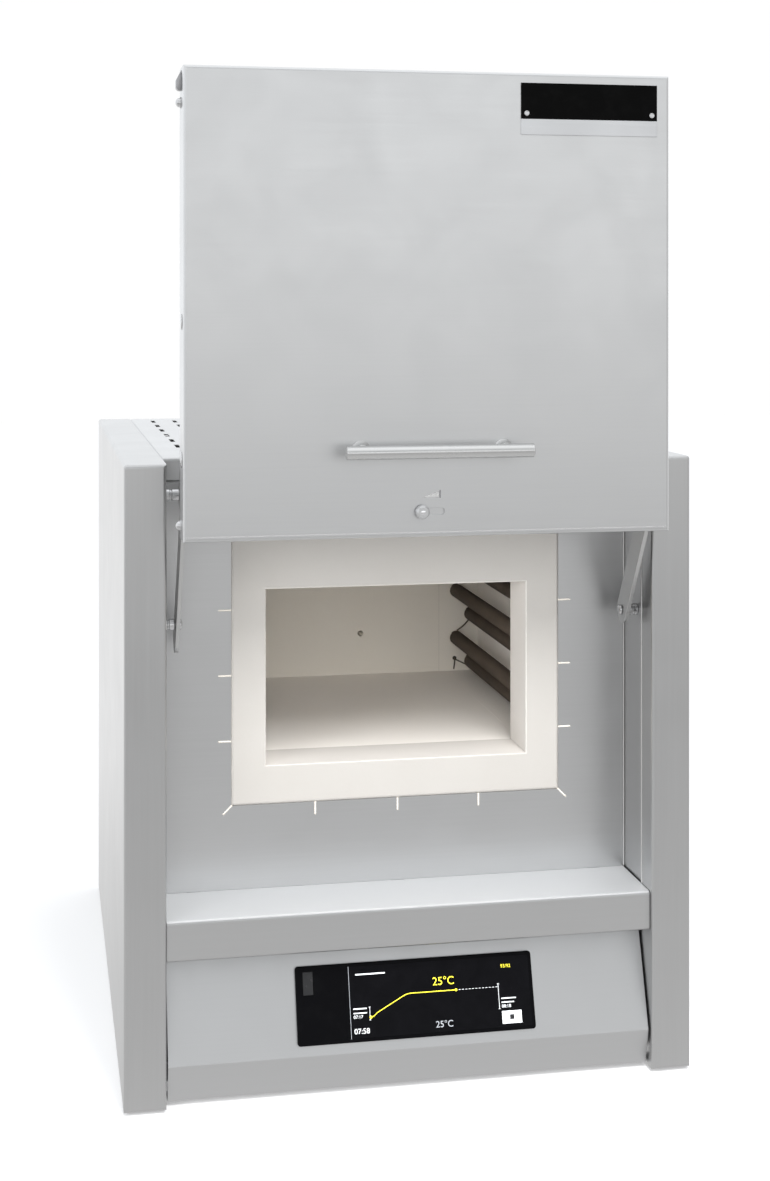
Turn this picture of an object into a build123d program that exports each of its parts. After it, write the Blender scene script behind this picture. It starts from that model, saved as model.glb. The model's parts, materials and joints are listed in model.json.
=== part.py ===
from build123d import *
import math
import os

os.makedirs("parts", exist_ok=True)

# A bench-top muffle furnace with a lift door, in millimetres.
# It is drawn with x to the right, y into the depth from the casing's front
# and z up from the casing's lower edge, and moved to its origin when written.

# Casing
casing_width = 530.0
casing_depth = 645.0
casing_height = 577.0
cheek_width = 38.0
sheet = 1.2
bend = 3.0
seam = 0.4
front_lip = 29.0
edge_lip = 12.0
wall_sheet = 1.5
pan_rise = 9.0
pan_flange = 20.0

# Front
panel_setback = 84.0
panel_flange = 20.0
cover_setback = 70.0
cover_lip = 21.0
shelf_top = 166.5
shelf_setback = 5.0
shelf_lip = 36.7
shelf_return = 12.0
tab_width = 12.0
tab_pitch = 196.0
fascia_fold_setback = 5.0
fascia_fold_height = 36.0
fascia_tilt = 18.4
kick_height = 34.5
kick_slope = 8.6
fascia_return = 20.0

# Slots of the covers
slot_length = 38.0
slot_width = 5.0
slot_pitch = 76.0
slot_first = 207.0
slot_outer_row = 201.5
slot_inner_row = 175.5
slots_in_row = 6
louvre_pitch = 22.0
louvres_in_row = 7

# Furnace mouth and chamber
mouth_width = 254.8
mouth_height = 167.0
chamber_floor_height = 282.6
chamber_width = 356.0
chamber_depth = 340.0
collar_depth = 58.0
collar_side = 32.6
collar_below = 36.6
collar_above = 56.4
collar_flange = 26.0
collar_gap = 0.3
slit_length = 11.0
slit_width = 2.0
slit_pitch_side = 62.0
slit_pitch_below = 80.0
fibre_joint = 0.2
side_board = 24.0
side_backup = 21.0
floor_board = 30.0
floor_backup = 36.0
roof_board = 33.0
roof_backup = 33.0
rear_board = 30.0
rear_backup = 40.0
plate_thickness = 8.0
plate_width = 272.0
plate_length = 326.0
plate_gap = 1.0

# Heating elements
support_radius = 4.5
support_bore = 2.5
coil_radius = 7.0
coil_end_gap = 9.0
tube_socket = 10.0
tube_clearance = 0.3
front_row_inset = 29.4
back_row_inset = 12.0
element_pitch = 56.0
back_row_rise = 13.4
rows_of_elements = 3
element_sides = 8
lead_radius = 1.2
lead_setback = 5.0

# Thermocouple and exhaust
probe_radius = 3.0
probe_reach = 24.0
probe_x = 35.0
probe_rise = 48.0
probe_head_radius = 14.0
probe_head_length = 26.0
duct_radius = 13.0
duct_wall = 1.5
duct_inlet_y = 420.0
duct_over_roof = 6.4
duct_overhang = 40.0
outlet_radius = 15.0
outlet_gap = 1.0
duct_hole_sides = 16

# Controller in the fascia
controller_x = 4.0
controller_width = 224.0
controller_height = 68.5
controller_low = 9.2
bezel_depth = 3.0
bezel_rim = 4.0
bezel_corner = 3.0
screen_left = 50.4
screen_margin = 3.0
screen_depth = 1.2
housing_depth = 40.0
housing_wall = 1.5
flap_x = 11.6
flap_rise = 53.4
flap_width = 9.3
flap_height = 20.4
flap_thickness = 2.4
flap_gap = 0.3
usb_width = 6.4
usb_height = 15.0
usb_wall = 0.6
usb_depth = 13.0

# Door
door_inset = 47.0
door_above = 0.3
door_depth = 40.0
door_sheet = 1.5
door_seam = 1.5
door_return = 11.0
inner_tray_inset = 18.0
inner_tray_low = 50.0
inner_tray_drop = 12.3
plug_side = 5.0
plug_gap = 0.8
handle_length = 165.0
handle_radius = 6.0
handle_rise = 77.5
handle_standoff = 33.0
post_spacing = 128.0
post_radius = 4.5
slider_rise = 22.5
slider_x = -10.0
slider_travel = 17.0
slider_slot_height = 6.0
knob_radius = 6.0
knob_height = 8.0
knob_neck = 2.2
knob_sides = 20
slider_plate_width = 62.0
slider_plate_height = 20.0
slider_thickness = 1.0
name_plate_inset = 12.0
name_plate_width = 126.0
name_plate_drop = 9.0
name_plate_height = 32.0
strip_height = 14.0
plate_sheet = 1.0
side_nut_low = 12.0
side_nut_drop = 30.3
side_nut_depth = 25.0

# Lift linkage
arm_length = 190.0
arm_width = 25.0
arm_thickness = 3.5
arm_tail = 18.0
arm_gap = 0.4
pivot_spacing = 119.0
door_pivot_depth = 17.6
door_pivot_rise = 70.0
open_angle = 57.5
closed_angle = -81.1
pin_radius = 3.0
pin_clearance = 0.05
pin_head = 4.8
spacer_radius = 5.5
door_spacer_radius = 4.4
door_head_radius = 7.0
doubler_width = 60.0
doubler_margin = 30.0
doubler_thickness = 3.0
eye_sides = 12

# Rear and inside
foot_radius = 16.0
foot_taper = 3.0
foot_show = 3.0
foot_inset = 35.0
foot_from_end = 60.0
foot_sides = 16
screw_radius = 2.0
screw_head = 4.0
inlet_x = 150.0
switch_x = 92.0
rear_fitting_height = 62.0
inlet_width = 34.0
inlet_height = 26.0
inlet_wall = 3.0
inlet_flange = 8.0
inlet_flange_depth = 3.0
inlet_depth = 24.0
blade_length = 15.0
switch_width = 22.0
switch_height = 30.0
switch_wall = 1.6
switch_rim = 3.0
switch_depth = 20.0
rocker_tilt = 9.0
heat_sink_width = 90.0
heat_sink_length = 120.0
heat_sink_base = 8.0
fin_height = 34.0
fin_thickness = 2.4
fins = 8
relay_width = 45.0
relay_length = 58.0
relay_height = 28.0
terminal_x = 100.0
terminal_width = 80.0
terminal_length = 22.0
terminal_height = 20.0
terminals = 6

# Derived places
half_width = casing_width / 2
post = half_width - cheek_width
wall_x = post + sheet
chamber_half = chamber_width / 2
mouth_half = mouth_width / 2
mouth_low = chamber_floor_height
mouth_high = mouth_low + mouth_height
collar_half = mouth_half + collar_side
collar_low = mouth_low - collar_below
collar_high = mouth_high + collar_above
chamber_front = panel_setback + collar_depth
chamber_back = chamber_front + chamber_depth
board_half = chamber_half + side_board
stack_half = board_half + side_backup
floor_low = chamber_floor_height - floor_board
stack_low = floor_low - floor_backup
roof_high = mouth_high + roof_board
stack_high = roof_high + roof_backup
stack_back = chamber_back + rear_board + rear_backup
duct_height = stack_high + duct_radius + duct_over_roof
door_width = casing_width - 2 * door_inset
door_closed_y = 0.0
door_closed_z = shelf_top + door_seam
door_height = casing_height + door_above - door_closed_z
inner_tray_width = door_width - 2 * inner_tray_inset
inner_tray_high = door_height - inner_tray_drop
side_nut_high = door_height - side_nut_drop
swing = open_angle - closed_angle


def arm_reach(angle):
    turn = math.radians(angle)
    return arm_length * math.cos(turn), arm_length * math.sin(turn)


closed_reach, closed_drop = arm_reach(closed_angle)
open_reach, open_rise = arm_reach(open_angle)
pivot_y = door_closed_y + door_pivot_depth + closed_reach
pivot_z = door_closed_z + door_pivot_rise - closed_drop
door_y = pivot_y - open_reach - door_pivot_depth
door_z = pivot_z + open_rise - door_pivot_rise
door_front = Pos(0, door_y, door_z)
flange_x = door_width / 2 - door_sheet
lower_arm_x = flange_x - arm_gap - arm_thickness
upper_arm_x = lower_arm_x - 2 * arm_gap - arm_thickness

front_most = door_y - handle_standoff - handle_radius
rear_most = casing_depth + duct_overhang
origin = Pos(0, -(front_most + rear_most) / 2, foot_show)


def block(x, y, z):
    spans = (x, y, z)
    middle = [(low + high) / 2 for low, high in spans]
    return Pos(*middle) * Box(*[high - low for low, high in spans])


def rod(radius, start, direction, length):
    ends = (Align.CENTER, Align.CENTER, Align.MIN)
    return Plane(origin=start, z_dir=direction) * Cylinder(radius, length, align=ends)


def prism(radius, start, direction, length, sides=6):
    # A flat-sided bar whose radius is that of its corners.
    outline = RegularPolygon(radius, sides)
    return extrude(Plane(origin=start, z_dir=direction) * outline, amount=length)


def bore(radius, start, direction, length, sides=eye_sides):
    # A flat-sided hole that clears a round of the radius.
    return prism(radius / math.cos(math.pi / sides), start, direction, length, sides)


def flat_sleeve(radius, hole, start, direction, length, sides):
    outer = prism(radius, start, direction, length, sides)
    return outer - bore(hole, start, direction, length, sides)


def to_left(piece):
    return mirror(piece, about=Plane.YZ)


def pair(piece):
    return Compound(children=[piece, to_left(piece)])


def group(pieces):
    return Compound(children=list(pieces))


def folded(points, side, thickness=sheet, radius=bend):
    # The section of a sheet whose outer face follows the points.
    path = Wire(FilletPolyline(*points, radius=radius).edges())
    outline = path.offset_2d(thickness, side=side, kind=Kind.INTERSECTION)
    return make_face(outline.edges())


def along_x(section, half):
    return extrude(Plane.YZ.offset(-half) * section, amount=2 * half)


def soften(piece, plane_axis, end, radius=bend):
    # Rounds every edge of the one face that lies furthest along an axis.
    face = piece.faces().sort_by(plane_axis)[end]
    return fillet(face.edges(), radius)


def tray(x, y, z, axis, end, thickness=sheet, radius=bend):
    # A shell with a rounded closed face at one end of an axis and open opposite.
    outer = soften(block(x, y, z), axis, end, radius)
    spans = [[low + thickness, high - thickness] for low, high in (x, y, z)]
    open_end = [Axis.X, Axis.Y, Axis.Z].index(axis)
    spans[open_end][0 if end == -1 else 1] += (-2 if end == -1 else 2) * thickness
    inner = soften(block(*spans), axis, end, radius - thickness)
    return outer - inner


def slots(places, length, width, plane, depth):
    # Slots whose length runs along the plane's second direction.
    shape = Sketch() + [Pos(*place) * Rectangle(width, length) for place in places]
    return extrude(plane * shape, amount=depth, both=True)


# Cheeks: double walled sides, each a folded post in front and open towards the inside.
def folded_block(x, y, z, radius):
    # Rounded round its front face and along its upper outer edge.
    solid = block(x, y, z)
    top_outer = solid.edges().filter_by(Axis.Y).group_by(Axis.Z)[-1].sort_by(Axis.X)[-1]
    front = solid.faces().sort_by(Axis.Y)[0].edges()
    return fillet([*front, top_outer], radius)


def cheek():
    x, y, z = (post, half_width), (0, casing_depth), (0, casing_height)
    outer = folded_block(x, y, z, bend)
    spans = [(low + sheet, high - sheet) for low, high in (x, y, z)]
    inner = folded_block(*spans, bend - sheet)
    window = block(
        (post - sheet, post + 2 * sheet),
        (front_lip, casing_depth - edge_lip),
        (edge_lip, casing_height - edge_lip),
    )
    return outer - inner - window


# Inner walls lie behind the lips of the cheeks and carry the door's pivots.
def inner_wall():
    wall = block(
        (wall_x, wall_x + wall_sheet),
        (2 * bend, casing_depth - 2 * bend),
        (bend, casing_height - bend),
    )
    for height in (pivot_z, pivot_z + pivot_spacing):
        wall -= bore(pin_radius + pin_clearance, (post, pivot_y, height), (1, 0, 0), cheek_width)
    return wall


def pivot_doubler():
    low = wall_x + wall_sheet
    plate = block(
        (low, low + doubler_thickness),
        (pivot_y - doubler_width / 2, pivot_y + doubler_width / 2),
        (pivot_z - doubler_margin, pivot_z + pivot_spacing + doubler_margin),
    )
    plate = chamfer(plate.edges().filter_by(Axis.X), 2 * bend)
    for height in (pivot_z, pivot_z + pivot_spacing):
        plate -= bore(pin_radius + pin_clearance, (post, pivot_y, height), (1, 0, 0), cheek_width)
    return plate


right_cheek = cheek()
right_inner_wall = inner_wall()
right_pivot_doubler = pivot_doubler()

# Top cover with its slots
cover_half = post - seam
top_cover = tray(
    (-cover_half, cover_half),
    (cover_setback, casing_depth),
    (casing_height - cover_lip, casing_height),
    Axis.Z,
    -1,
)
cover_places = [
    (side * row, slot_first + slot_pitch * number)
    for side in (-1, 1)
    for row in (slot_outer_row, slot_inner_row)
    for number in range(slots_in_row)
    if slot_first + slot_pitch * number + slot_length < casing_depth
]
top_cover -= slots(
    cover_places, slot_length, slot_width, Plane.XY.offset(casing_height), 2 * sheet
)

# Base pan, with air slots, on its feet
pan_front = fascia_fold_setback + kick_slope + fascia_return + bend
pan_back = casing_depth - 4 * bend
base_pan = tray(
    (-cover_half, cover_half),
    (pan_front, pan_back),
    (pan_rise, pan_rise + pan_flange),
    Axis.Z,
    0,
)
pan_slots = [
    (side * slot_pitch / 2, casing_depth / 2 + slot_pitch * number)
    for side in (-1, 1)
    for number in (-1, 0, 1)
]
base_pan -= slots(pan_slots, slot_length, slot_width, Plane.XY.offset(pan_rise), 2 * sheet)


def foot(x, y):
    pad = prism(foot_radius, (x, y, -foot_show), (0, 0, 1), foot_show + pan_rise, foot_sides)
    return chamfer(pad.faces().sort_by(Axis.Z)[0].edges(), foot_taper)


foot_x = post - foot_inset
feet = group(
    foot(side * foot_x, place)
    for side in (-1, 1)
    for place in (pan_front + foot_from_end / 2, casing_depth - foot_from_end)
)

# Front panel round the collar, with slits that let it grow with the heat
panel_half = wall_x - seam
panel_low = shelf_top + seam
panel_high = casing_height - cover_lip - seam
panel_back = panel_setback + panel_flange
panel_path = [
    (-panel_half, panel_back),
    (-panel_half, panel_setback),
    (panel_half, panel_setback),
    (panel_half, panel_back),
]
front_panel = extrude(
    Plane.XY.offset(panel_low) * folded(panel_path, Side.LEFT),
    amount=panel_high - panel_low,
)
front_panel += block(
    (-cover_half, cover_half),
    (cover_setback + seam, panel_setback + sheet / 2),
    (panel_high - sheet, panel_high),
)
collar_centre = (mouth_low + mouth_high) / 2


def slit(x, z, turn):
    cut = Box(2 * slit_length, 4 * sheet, slit_width)
    return Pos(x, panel_setback, z) * Rot(0, turn, 0) * cut


front_panel -= block(
    (-collar_half - collar_gap, collar_half + collar_gap),
    (0, 2 * panel_setback),
    (collar_low - collar_gap, collar_high + collar_gap),
)
for number in (-1, 0, 1):
    for side in (-1, 1):
        front_panel -= slit(side * collar_half, collar_centre + number * slit_pitch_side, 0)
    front_panel -= slit(number * slit_pitch_below, collar_low, 90)
for side in (-1, 1):
    for height, turn in ((collar_low, -45), (collar_high, 45)):
        front_panel -= slit(side * collar_half, height, side * turn)

# The panel's feet stand through the shelf.
tab_places = [number * tab_pitch for number in (-1, 0, 1)]
for place in tab_places:
    tab_x = (place - tab_width / 2, place + tab_width / 2)
    tab_y = (panel_setback, panel_setback + sheet)
    front_panel += block(tab_x, tab_y, (shelf_top - 3 * sheet, panel_low + sheet))

# Shelf
shelf_half = post - seam
shelf_back = panel_back
shelf_path = [
    (shelf_setback + shelf_return, shelf_top - shelf_lip),
    (shelf_setback, shelf_top - shelf_lip),
    (shelf_setback, shelf_top),
    (shelf_back, shelf_top),
    (shelf_back, shelf_top - pan_flange),
]
shelf = along_x(folded(shelf_path, Side.RIGHT, wall_sheet), shelf_half)
for place in tab_places:
    shelf -= block(
        (place - tab_width / 2 - seam, place + tab_width / 2 + seam),
        (panel_setback - seam, panel_setback + sheet + seam),
        (shelf_top - 2 * wall_sheet, shelf_top + 1),
    )

# Control fascia: it leans back under the shelf and folds to a kick part below
tilt = math.radians(fascia_tilt)
fascia_top = shelf_top - wall_sheet - seam
fascia_run = fascia_top - fascia_fold_height
fascia_top_y = fascia_fold_setback + fascia_run * math.tan(tilt)
kick_low = fascia_fold_height - kick_height
kick_y = fascia_fold_setback + kick_slope
fascia_path = [
    (fascia_top_y + fascia_return, fascia_top),
    (fascia_top_y, fascia_top),
    (fascia_fold_setback, fascia_fold_height),
    (kick_y, kick_low),
    (kick_y + fascia_return, kick_low),
]
fascia_half = post - 4 * seam
control_fascia = along_x(folded(fascia_path, Side.LEFT, wall_sheet), fascia_half)

# The controller is drawn on the fascia's face: x across, y up the slope, z out of it.
face = Plane(
    origin=(controller_x, fascia_fold_setback, fascia_fold_height),
    x_dir=(1, 0, 0),
    z_dir=(0, -math.cos(tilt), math.sin(tilt)),
)
bezel_half = controller_width / 2
bezel_low = controller_low
bezel_high = controller_low + controller_height
housing_half = bezel_half - bezel_rim - housing_wall
housing_low = bezel_low + bezel_rim
housing_high = bezel_high - bezel_rim
control_fascia -= face * block(
    (-housing_half - seam, housing_half + seam),
    (housing_low - seam, housing_high + seam),
    (-3 * wall_sheet, wall_sheet),
)
bezel = block((-bezel_half, bezel_half), (bezel_low, bezel_high), (0, bezel_depth))
bezel = fillet(bezel.edges().filter_by(Axis.Z), bezel_corner)
bezel = chamfer(bezel.faces().sort_by(Axis.Z)[-1].edges(), bezel_depth / 5)
screen_x = (-bezel_half + screen_left, bezel_half - screen_margin)
screen_y = (bezel_low + screen_margin, bezel_high - screen_margin)
screen_z = (bezel_depth - screen_depth, bezel_depth)
recess = block(screen_x, screen_y, (screen_z[0], bezel_depth + 1))
flap_middle = -bezel_half + flap_x
flap_hinge = bezel_low + flap_rise + flap_height / 2 - flap_thickness / 2
flap_low = flap_hinge + flap_thickness / 2 - flap_height
flap_level = bezel_depth - flap_gap - flap_thickness / 2
flap_window = block(
    (flap_middle - flap_width / 2 - flap_gap, flap_middle + flap_width / 2 + flap_gap),
    (flap_low - flap_gap, flap_hinge + flap_thickness / 2 + flap_gap),
    (-1, bezel_depth + 1),
)
controller_bezel = face * (bezel - recess - flap_window)
inset = tube_clearance / 2
controller_screen = face * block(
    (screen_x[0] + inset, screen_x[1] - inset),
    (screen_y[0] + inset, screen_y[1] - inset),
    screen_z,
)
flap_x_span = (flap_middle - flap_width / 2, flap_middle + flap_width / 2)
flap_plate = block(
    flap_x_span,
    (flap_low, flap_hinge),
    (flap_level - flap_thickness / 2, flap_level + flap_thickness / 2),
)
flap_knuckle = prism(
    flap_thickness / 2, (flap_x_span[0], flap_hinge, flap_level), (1, 0, 0), flap_width, eye_sides
)
usb_flap = face * (flap_plate + flap_knuckle)
housing = block(
    (-housing_half, housing_half), (housing_low, housing_high), (-housing_depth, 0)
)
housing -= block(
    (-housing_half + housing_wall, housing_half - housing_wall),
    (housing_low + housing_wall, housing_high - housing_wall),
    (housing_wall - housing_depth, 1),
)
controller_housing = face * housing
usb_centre = (flap_low + flap_hinge) / 2
usb_shell = block(
    (flap_middle - usb_width / 2, flap_middle + usb_width / 2),
    (usb_centre - usb_height / 2, usb_centre + usb_height / 2),
    (-usb_depth, -flap_gap),
)
usb_shell -= block(
    (flap_middle - usb_width / 2 + usb_wall, flap_middle + usb_width / 2 - usb_wall),
    (usb_centre - usb_height / 2 + usb_wall, usb_centre + usb_height / 2 - usb_wall),
    (usb_wall - usb_depth, 1),
)
usb_socket = face * usb_shell

# Collar: one fibre block with a step behind the front panel and sockets for the elements
boss = block((-collar_half, collar_half), (panel_setback, chamber_front), (collar_low, collar_high))
flange_front = panel_setback + sheet + collar_gap
flange = block(
    (-collar_half - collar_flange, collar_half + collar_flange),
    (flange_front, chamber_front - fibre_joint),
    (collar_low - collar_flange, collar_high + collar_flange / 2),
)
boss = soften(boss, Axis.Y, 0, slit_width)
mouth = block((-mouth_half, mouth_half), (0, 2 * chamber_front), (mouth_low, mouth_high))
collar = boss + flange - mouth
mouth_rim = [
    edge for edge in collar.edges()
    if abs(edge.center().Y - panel_setback) < 0.01
    and abs(edge.center().X) < mouth_half + 0.01
    and mouth_low - 0.01 < edge.center().Z < mouth_high + 0.01
]
collar = chamfer(mouth_rim, slit_width / 2)

# Heating elements: ceramic tubes with their coils in two rows, from the collar to the rear wall
front_row_x = chamber_half - front_row_inset
back_row_x = chamber_half - back_row_inset
back_row = [mouth_low + back_row_rise + element_pitch * n for n in range(rows_of_elements)]
front_row = [height + element_pitch / 2 for height in back_row]
elements = [(back_row_x, height) for height in back_row]
elements += [(front_row_x, height) for height in front_row]
tube_start = chamber_front - tube_socket
tube_length = chamber_depth + 2 * tube_socket
coil_start = chamber_front + coil_end_gap
coil_length = chamber_depth - 2 * coil_end_gap


def tube_sockets(side):
    start = tube_start - 2 * fibre_joint
    reach = tube_length + 4 * fibre_joint
    return [
        prism(support_radius + tube_clearance, (side * x, start, z), (0, 1, 0), reach, element_sides)
        for x, z in elements
    ]


both_sockets = tube_sockets(1) + tube_sockets(-1)
collar = collar - both_sockets
right_support_tubes = group(
    flat_sleeve(support_radius, support_bore, (x, tube_start, z), (0, 1, 0), tube_length, element_sides)
    for x, z in elements
)
right_heating_coils = group(
    flat_sleeve(coil_radius, support_radius, (x, coil_start, z), (0, 1, 0), coil_length, element_sides)
    for x, z in elements
)
lead_y = chamber_back - lead_setback


def lead(start, end):
    # A heater tail from one element's end to the next, bent into the wall's plane.
    direction = Vector(end[0] - start[0], 0, end[1] - start[1])
    length = direction.length - 2 * support_radius - 4 * tube_clearance
    first = Vector(start[0], lead_y, start[1])
    first += direction.normalized() * (support_radius + 2 * tube_clearance)
    return prism(lead_radius, first.to_tuple(), direction.to_tuple(), length)


lead_steps = [
    (elements[number], elements[number + rows_of_elements])
    for number in range(rows_of_elements)
]
lead_steps += [
    (elements[number + rows_of_elements], elements[number + 1])
    for number in range(rows_of_elements - 1)
]
right_coil_leads = group(lead(start, end) for start, end in lead_steps)

# Chamber boards and the backup insulation round them
board_y = (chamber_front + fibre_joint, chamber_back - fibre_joint)
chamber_floor = block((-board_half, board_half), board_y, (floor_low, chamber_floor_height))
plate_x = (-plate_width / 2, plate_width / 2)
plate_front = chamber_front + (chamber_depth - plate_length) / 2
plate_y = (plate_front, plate_front + plate_length)
chamber_floor -= block(
    (plate_x[0] - plate_gap, plate_x[1] + plate_gap),
    (plate_y[0] - plate_gap, plate_y[1] + plate_gap),
    (chamber_floor_height - plate_thickness, chamber_floor_height + 1),
)
floor_plate = block(
    plate_x, plate_y, (chamber_floor_height - plate_thickness, chamber_floor_height)
)
floor_plate = chamfer(floor_plate.edges().filter_by(Axis.Z), bend)
chamber_roof = block((-board_half, board_half), board_y, (mouth_high, roof_high))
chamber_right_wall = block(
    (chamber_half, board_half),
    board_y,
    (chamber_floor_height + fibre_joint, mouth_high - fibre_joint),
)
chamber_rear_wall = block(
    (-board_half, board_half),
    (chamber_back, chamber_back + rear_board),
    (floor_low, roof_high),
)
chamber_rear_wall = chamber_rear_wall - both_sockets
backup_floor = block(
    (-stack_half, stack_half), (board_y[0], stack_back), (stack_low, floor_low - fibre_joint)
)
lower_back = backup_floor.edges().filter_by(Axis.X).group_by(Axis.Z)[0].sort_by(Axis.Y)[-1]
backup_floor = chamfer(lower_back, bend)
backup_roof = block(
    (-stack_half, stack_half), (board_y[0], stack_back), (roof_high + fibre_joint, stack_high)
)
backup_right = block(
    (board_half + fibre_joint, stack_half), (board_y[0], stack_back), (floor_low, roof_high)
)
backup_rear = block(
    (-board_half, board_half),
    (chamber_back + rear_board + fibre_joint, stack_back),
    (floor_low, roof_high),
)

# Tray that carries the insulation, with an upright back
tray_top = stack_low - fibre_joint
insulation_path = [
    (panel_back, tray_top - pan_flange),
    (panel_back, tray_top),
    (stack_back + fibre_joint, tray_top),
    (stack_back + fibre_joint, stack_high),
]
insulation_tray = along_x(folded(insulation_path, Side.RIGHT, wall_sheet, bend), panel_half)

# Thermocouple through the rear wall
probe_z = mouth_low + probe_rise
probe_tip = chamber_back - probe_reach
probe_end = stack_back + 4 * wall_sheet
probe_hole = prism(
    probe_radius + tube_clearance, (probe_x, probe_tip, probe_z), (0, 1, 0), probe_end, eye_sides
)
probe_length = probe_end - probe_tip
thermocouple = prism(
    probe_radius, (probe_x, probe_tip, probe_z), (0, 1, 0), probe_length, eye_sides
)
thermocouple = chamfer(thermocouple.faces().sort_by(Axis.Y)[0].edges(), probe_radius / 2)
thermocouple_head = prism(
    probe_head_radius, (probe_x, probe_end, probe_z), (0, 1, 0), probe_head_length, eye_sides
)
thermocouple_head = chamfer(thermocouple_head.faces().sort_by(Axis.Y)[-1].edges(), 2 * sheet)
chamber_rear_wall -= probe_hole
backup_rear -= probe_hole
insulation_tray -= probe_hole

# Exhaust duct from the chamber's roof to the rear
duct_base = (0, duct_inlet_y, mouth_high)
duct_corner = (0, duct_inlet_y, duct_height)
duct_path = Polyline(duct_base, duct_corner, (0, rear_most, duct_height))


def duct_bar(radius):
    # A round bar along the duct's path, mitred at its corner.
    outline = Plane(origin=duct_base, z_dir=(0, 0, 1)) * Circle(radius)
    return sweep(outline, path=duct_path, transition=Transition.RIGHT)


duct_bore = duct_bar(duct_radius - duct_wall)
outlet_y = casing_depth + outlet_gap
outlet = rod(outlet_radius, (0, outlet_y, duct_height), (0, 1, 0), rear_most - outlet_y)
exhaust_duct = duct_bar(duct_radius) + outlet - duct_bore
duct_hole_radius = duct_radius + tube_clearance
duct_space = bore(duct_hole_radius, duct_base, (0, 0, 1), duct_height - mouth_high, duct_hole_sides)
duct_space += bore(duct_hole_radius, duct_corner, (0, 1, 0), rear_most - duct_inlet_y, duct_hole_sides)
chamber_roof -= duct_space
backup_roof -= duct_space
insulation_tray -= duct_space

# Rear panel with its air slots and fittings
rear_low = pan_rise - edge_lip / 2
rear_high = casing_height - cover_lip - seam
rear_panel = tray(
    (-cover_half, cover_half),
    (casing_depth - edge_lip + sheet, casing_depth),
    (rear_low, rear_high),
    Axis.Y,
    -1,
)
louvre_first = -louvre_pitch * (louvres_in_row - 1) / 2
louvre_places = [
    (side * slot_pitch * 3 / 2 + louvre_first / 2 + louvre_pitch * number / 2, height)
    for side in (-1, 1)
    for height in (stack_low - slot_length * 2, rear_high - slot_length)
    for number in range(louvres_in_row)
]
rear_plane = Plane(origin=(0, casing_depth, 0), x_dir=(1, 0, 0), z_dir=(0, -1, 0))
rear_panel -= slots(louvre_places, slot_length, slot_width, rear_plane, 2 * sheet)
rear_panel -= duct_space


def centred(x, z, width, height, y):
    return block((x - width / 2, x + width / 2), y, (z - height / 2, z + height / 2))


fitting_z = rear_fitting_height
body_y = (casing_depth - inlet_depth, casing_depth)
rear_panel -= centred(
    inlet_x, fitting_z, inlet_width + seam, inlet_height + seam, (casing_depth - 9, casing_depth + 9)
)
rear_panel -= centred(
    switch_x, fitting_z, switch_width + seam, switch_height + seam, (casing_depth - 9, casing_depth + 9)
)
inlet_face = (casing_depth, casing_depth + inlet_flange_depth)
mains_inlet = centred(inlet_x, fitting_z, inlet_width, inlet_height, body_y)
inlet_plate = centred(
    inlet_x, fitting_z, inlet_width + 2 * inlet_flange, inlet_height + inlet_wall, inlet_face
)
inlet_plate = chamfer(inlet_plate.edges().filter_by(Axis.Y), bend)
mains_inlet += inlet_plate
inlet_cavity = centred(
    inlet_x,
    fitting_z,
    inlet_width - 2 * inlet_wall,
    inlet_height - 2 * inlet_wall,
    (casing_depth - inlet_depth + inlet_wall, casing_depth + 9),
)
mains_inlet -= chamfer(inlet_cavity.edges().filter_by(Axis.Y), bend)
blade_places = [(-7.5, -3.5), (7.5, -3.5), (0, 4.5)]
blade_back = casing_depth - inlet_depth + inlet_wall
inlet_pins = group(
    centred(inlet_x + x, fitting_z + z, 8.0, 2.0, (blade_back, blade_back + blade_length))
    for x, z in blade_places
)
switch_frame = centred(
    switch_x,
    fitting_z,
    switch_width,
    switch_height,
    (casing_depth - switch_depth, casing_depth),
)
switch_plate = centred(
    switch_x,
    fitting_z,
    switch_width + 2 * switch_rim,
    switch_height + 2 * switch_rim,
    (casing_depth, casing_depth + switch_wall),
)
switch_frame += chamfer(switch_plate.edges().filter_by(Axis.Y), bend / 2)
rocker_width = switch_width - 2 * switch_wall
rocker_height = switch_height - 2 * switch_wall
switch_frame -= centred(
    switch_x,
    fitting_z,
    rocker_width,
    rocker_height,
    (casing_depth - switch_depth + switch_wall, casing_depth + 9),
)
# The rocker is a wide V from the side, pressed in at its upper half.
rocker_throw = switch_depth / 2 * math.sin(math.radians(rocker_tilt))
rocker_reach = rocker_height / 2 - 2 * seam - rocker_throw
rocker_rise = rocker_reach * math.tan(math.radians(rocker_tilt))
rocker_crest = casing_depth + switch_wall
rocker_pivot_y = rocker_crest - switch_depth / 2
rocker_side = Polyline(
    (rocker_crest, 0),
    (rocker_crest + rocker_rise, rocker_reach),
    (rocker_pivot_y, rocker_reach / 2),
    (rocker_pivot_y, -rocker_reach / 2),
    (rocker_crest + rocker_rise, -rocker_reach),
    (rocker_crest, 0),
)
rocker = along_x(make_face(rocker_side.edges()), rocker_width / 2 - seam)
rocker += prism(
    switch_depth / 8,
    (-rocker_width / 2 + seam, rocker_pivot_y, 0),
    (1, 0, 0),
    rocker_width - 2 * seam,
    eye_sides,
)
rocker_axis = Axis((0, rocker_pivot_y, 0), (1, 0, 0))
switch_rocker = Pos(switch_x, 0, fitting_z) * rocker.rotate(rocker_axis, rocker_tilt)

screw_x = cover_half - edge_lip
screw_heights = [rear_low + edge_lip, rear_high - edge_lip]


def rear_screw(x, z):
    head = prism(screw_head, (x, casing_depth, z), (0, 1, 0), screw_radius)
    shank = prism(screw_radius, (x, casing_depth - 4 * screw_radius, z), (0, 1, 0), 4 * screw_radius)
    return head + shank


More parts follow.
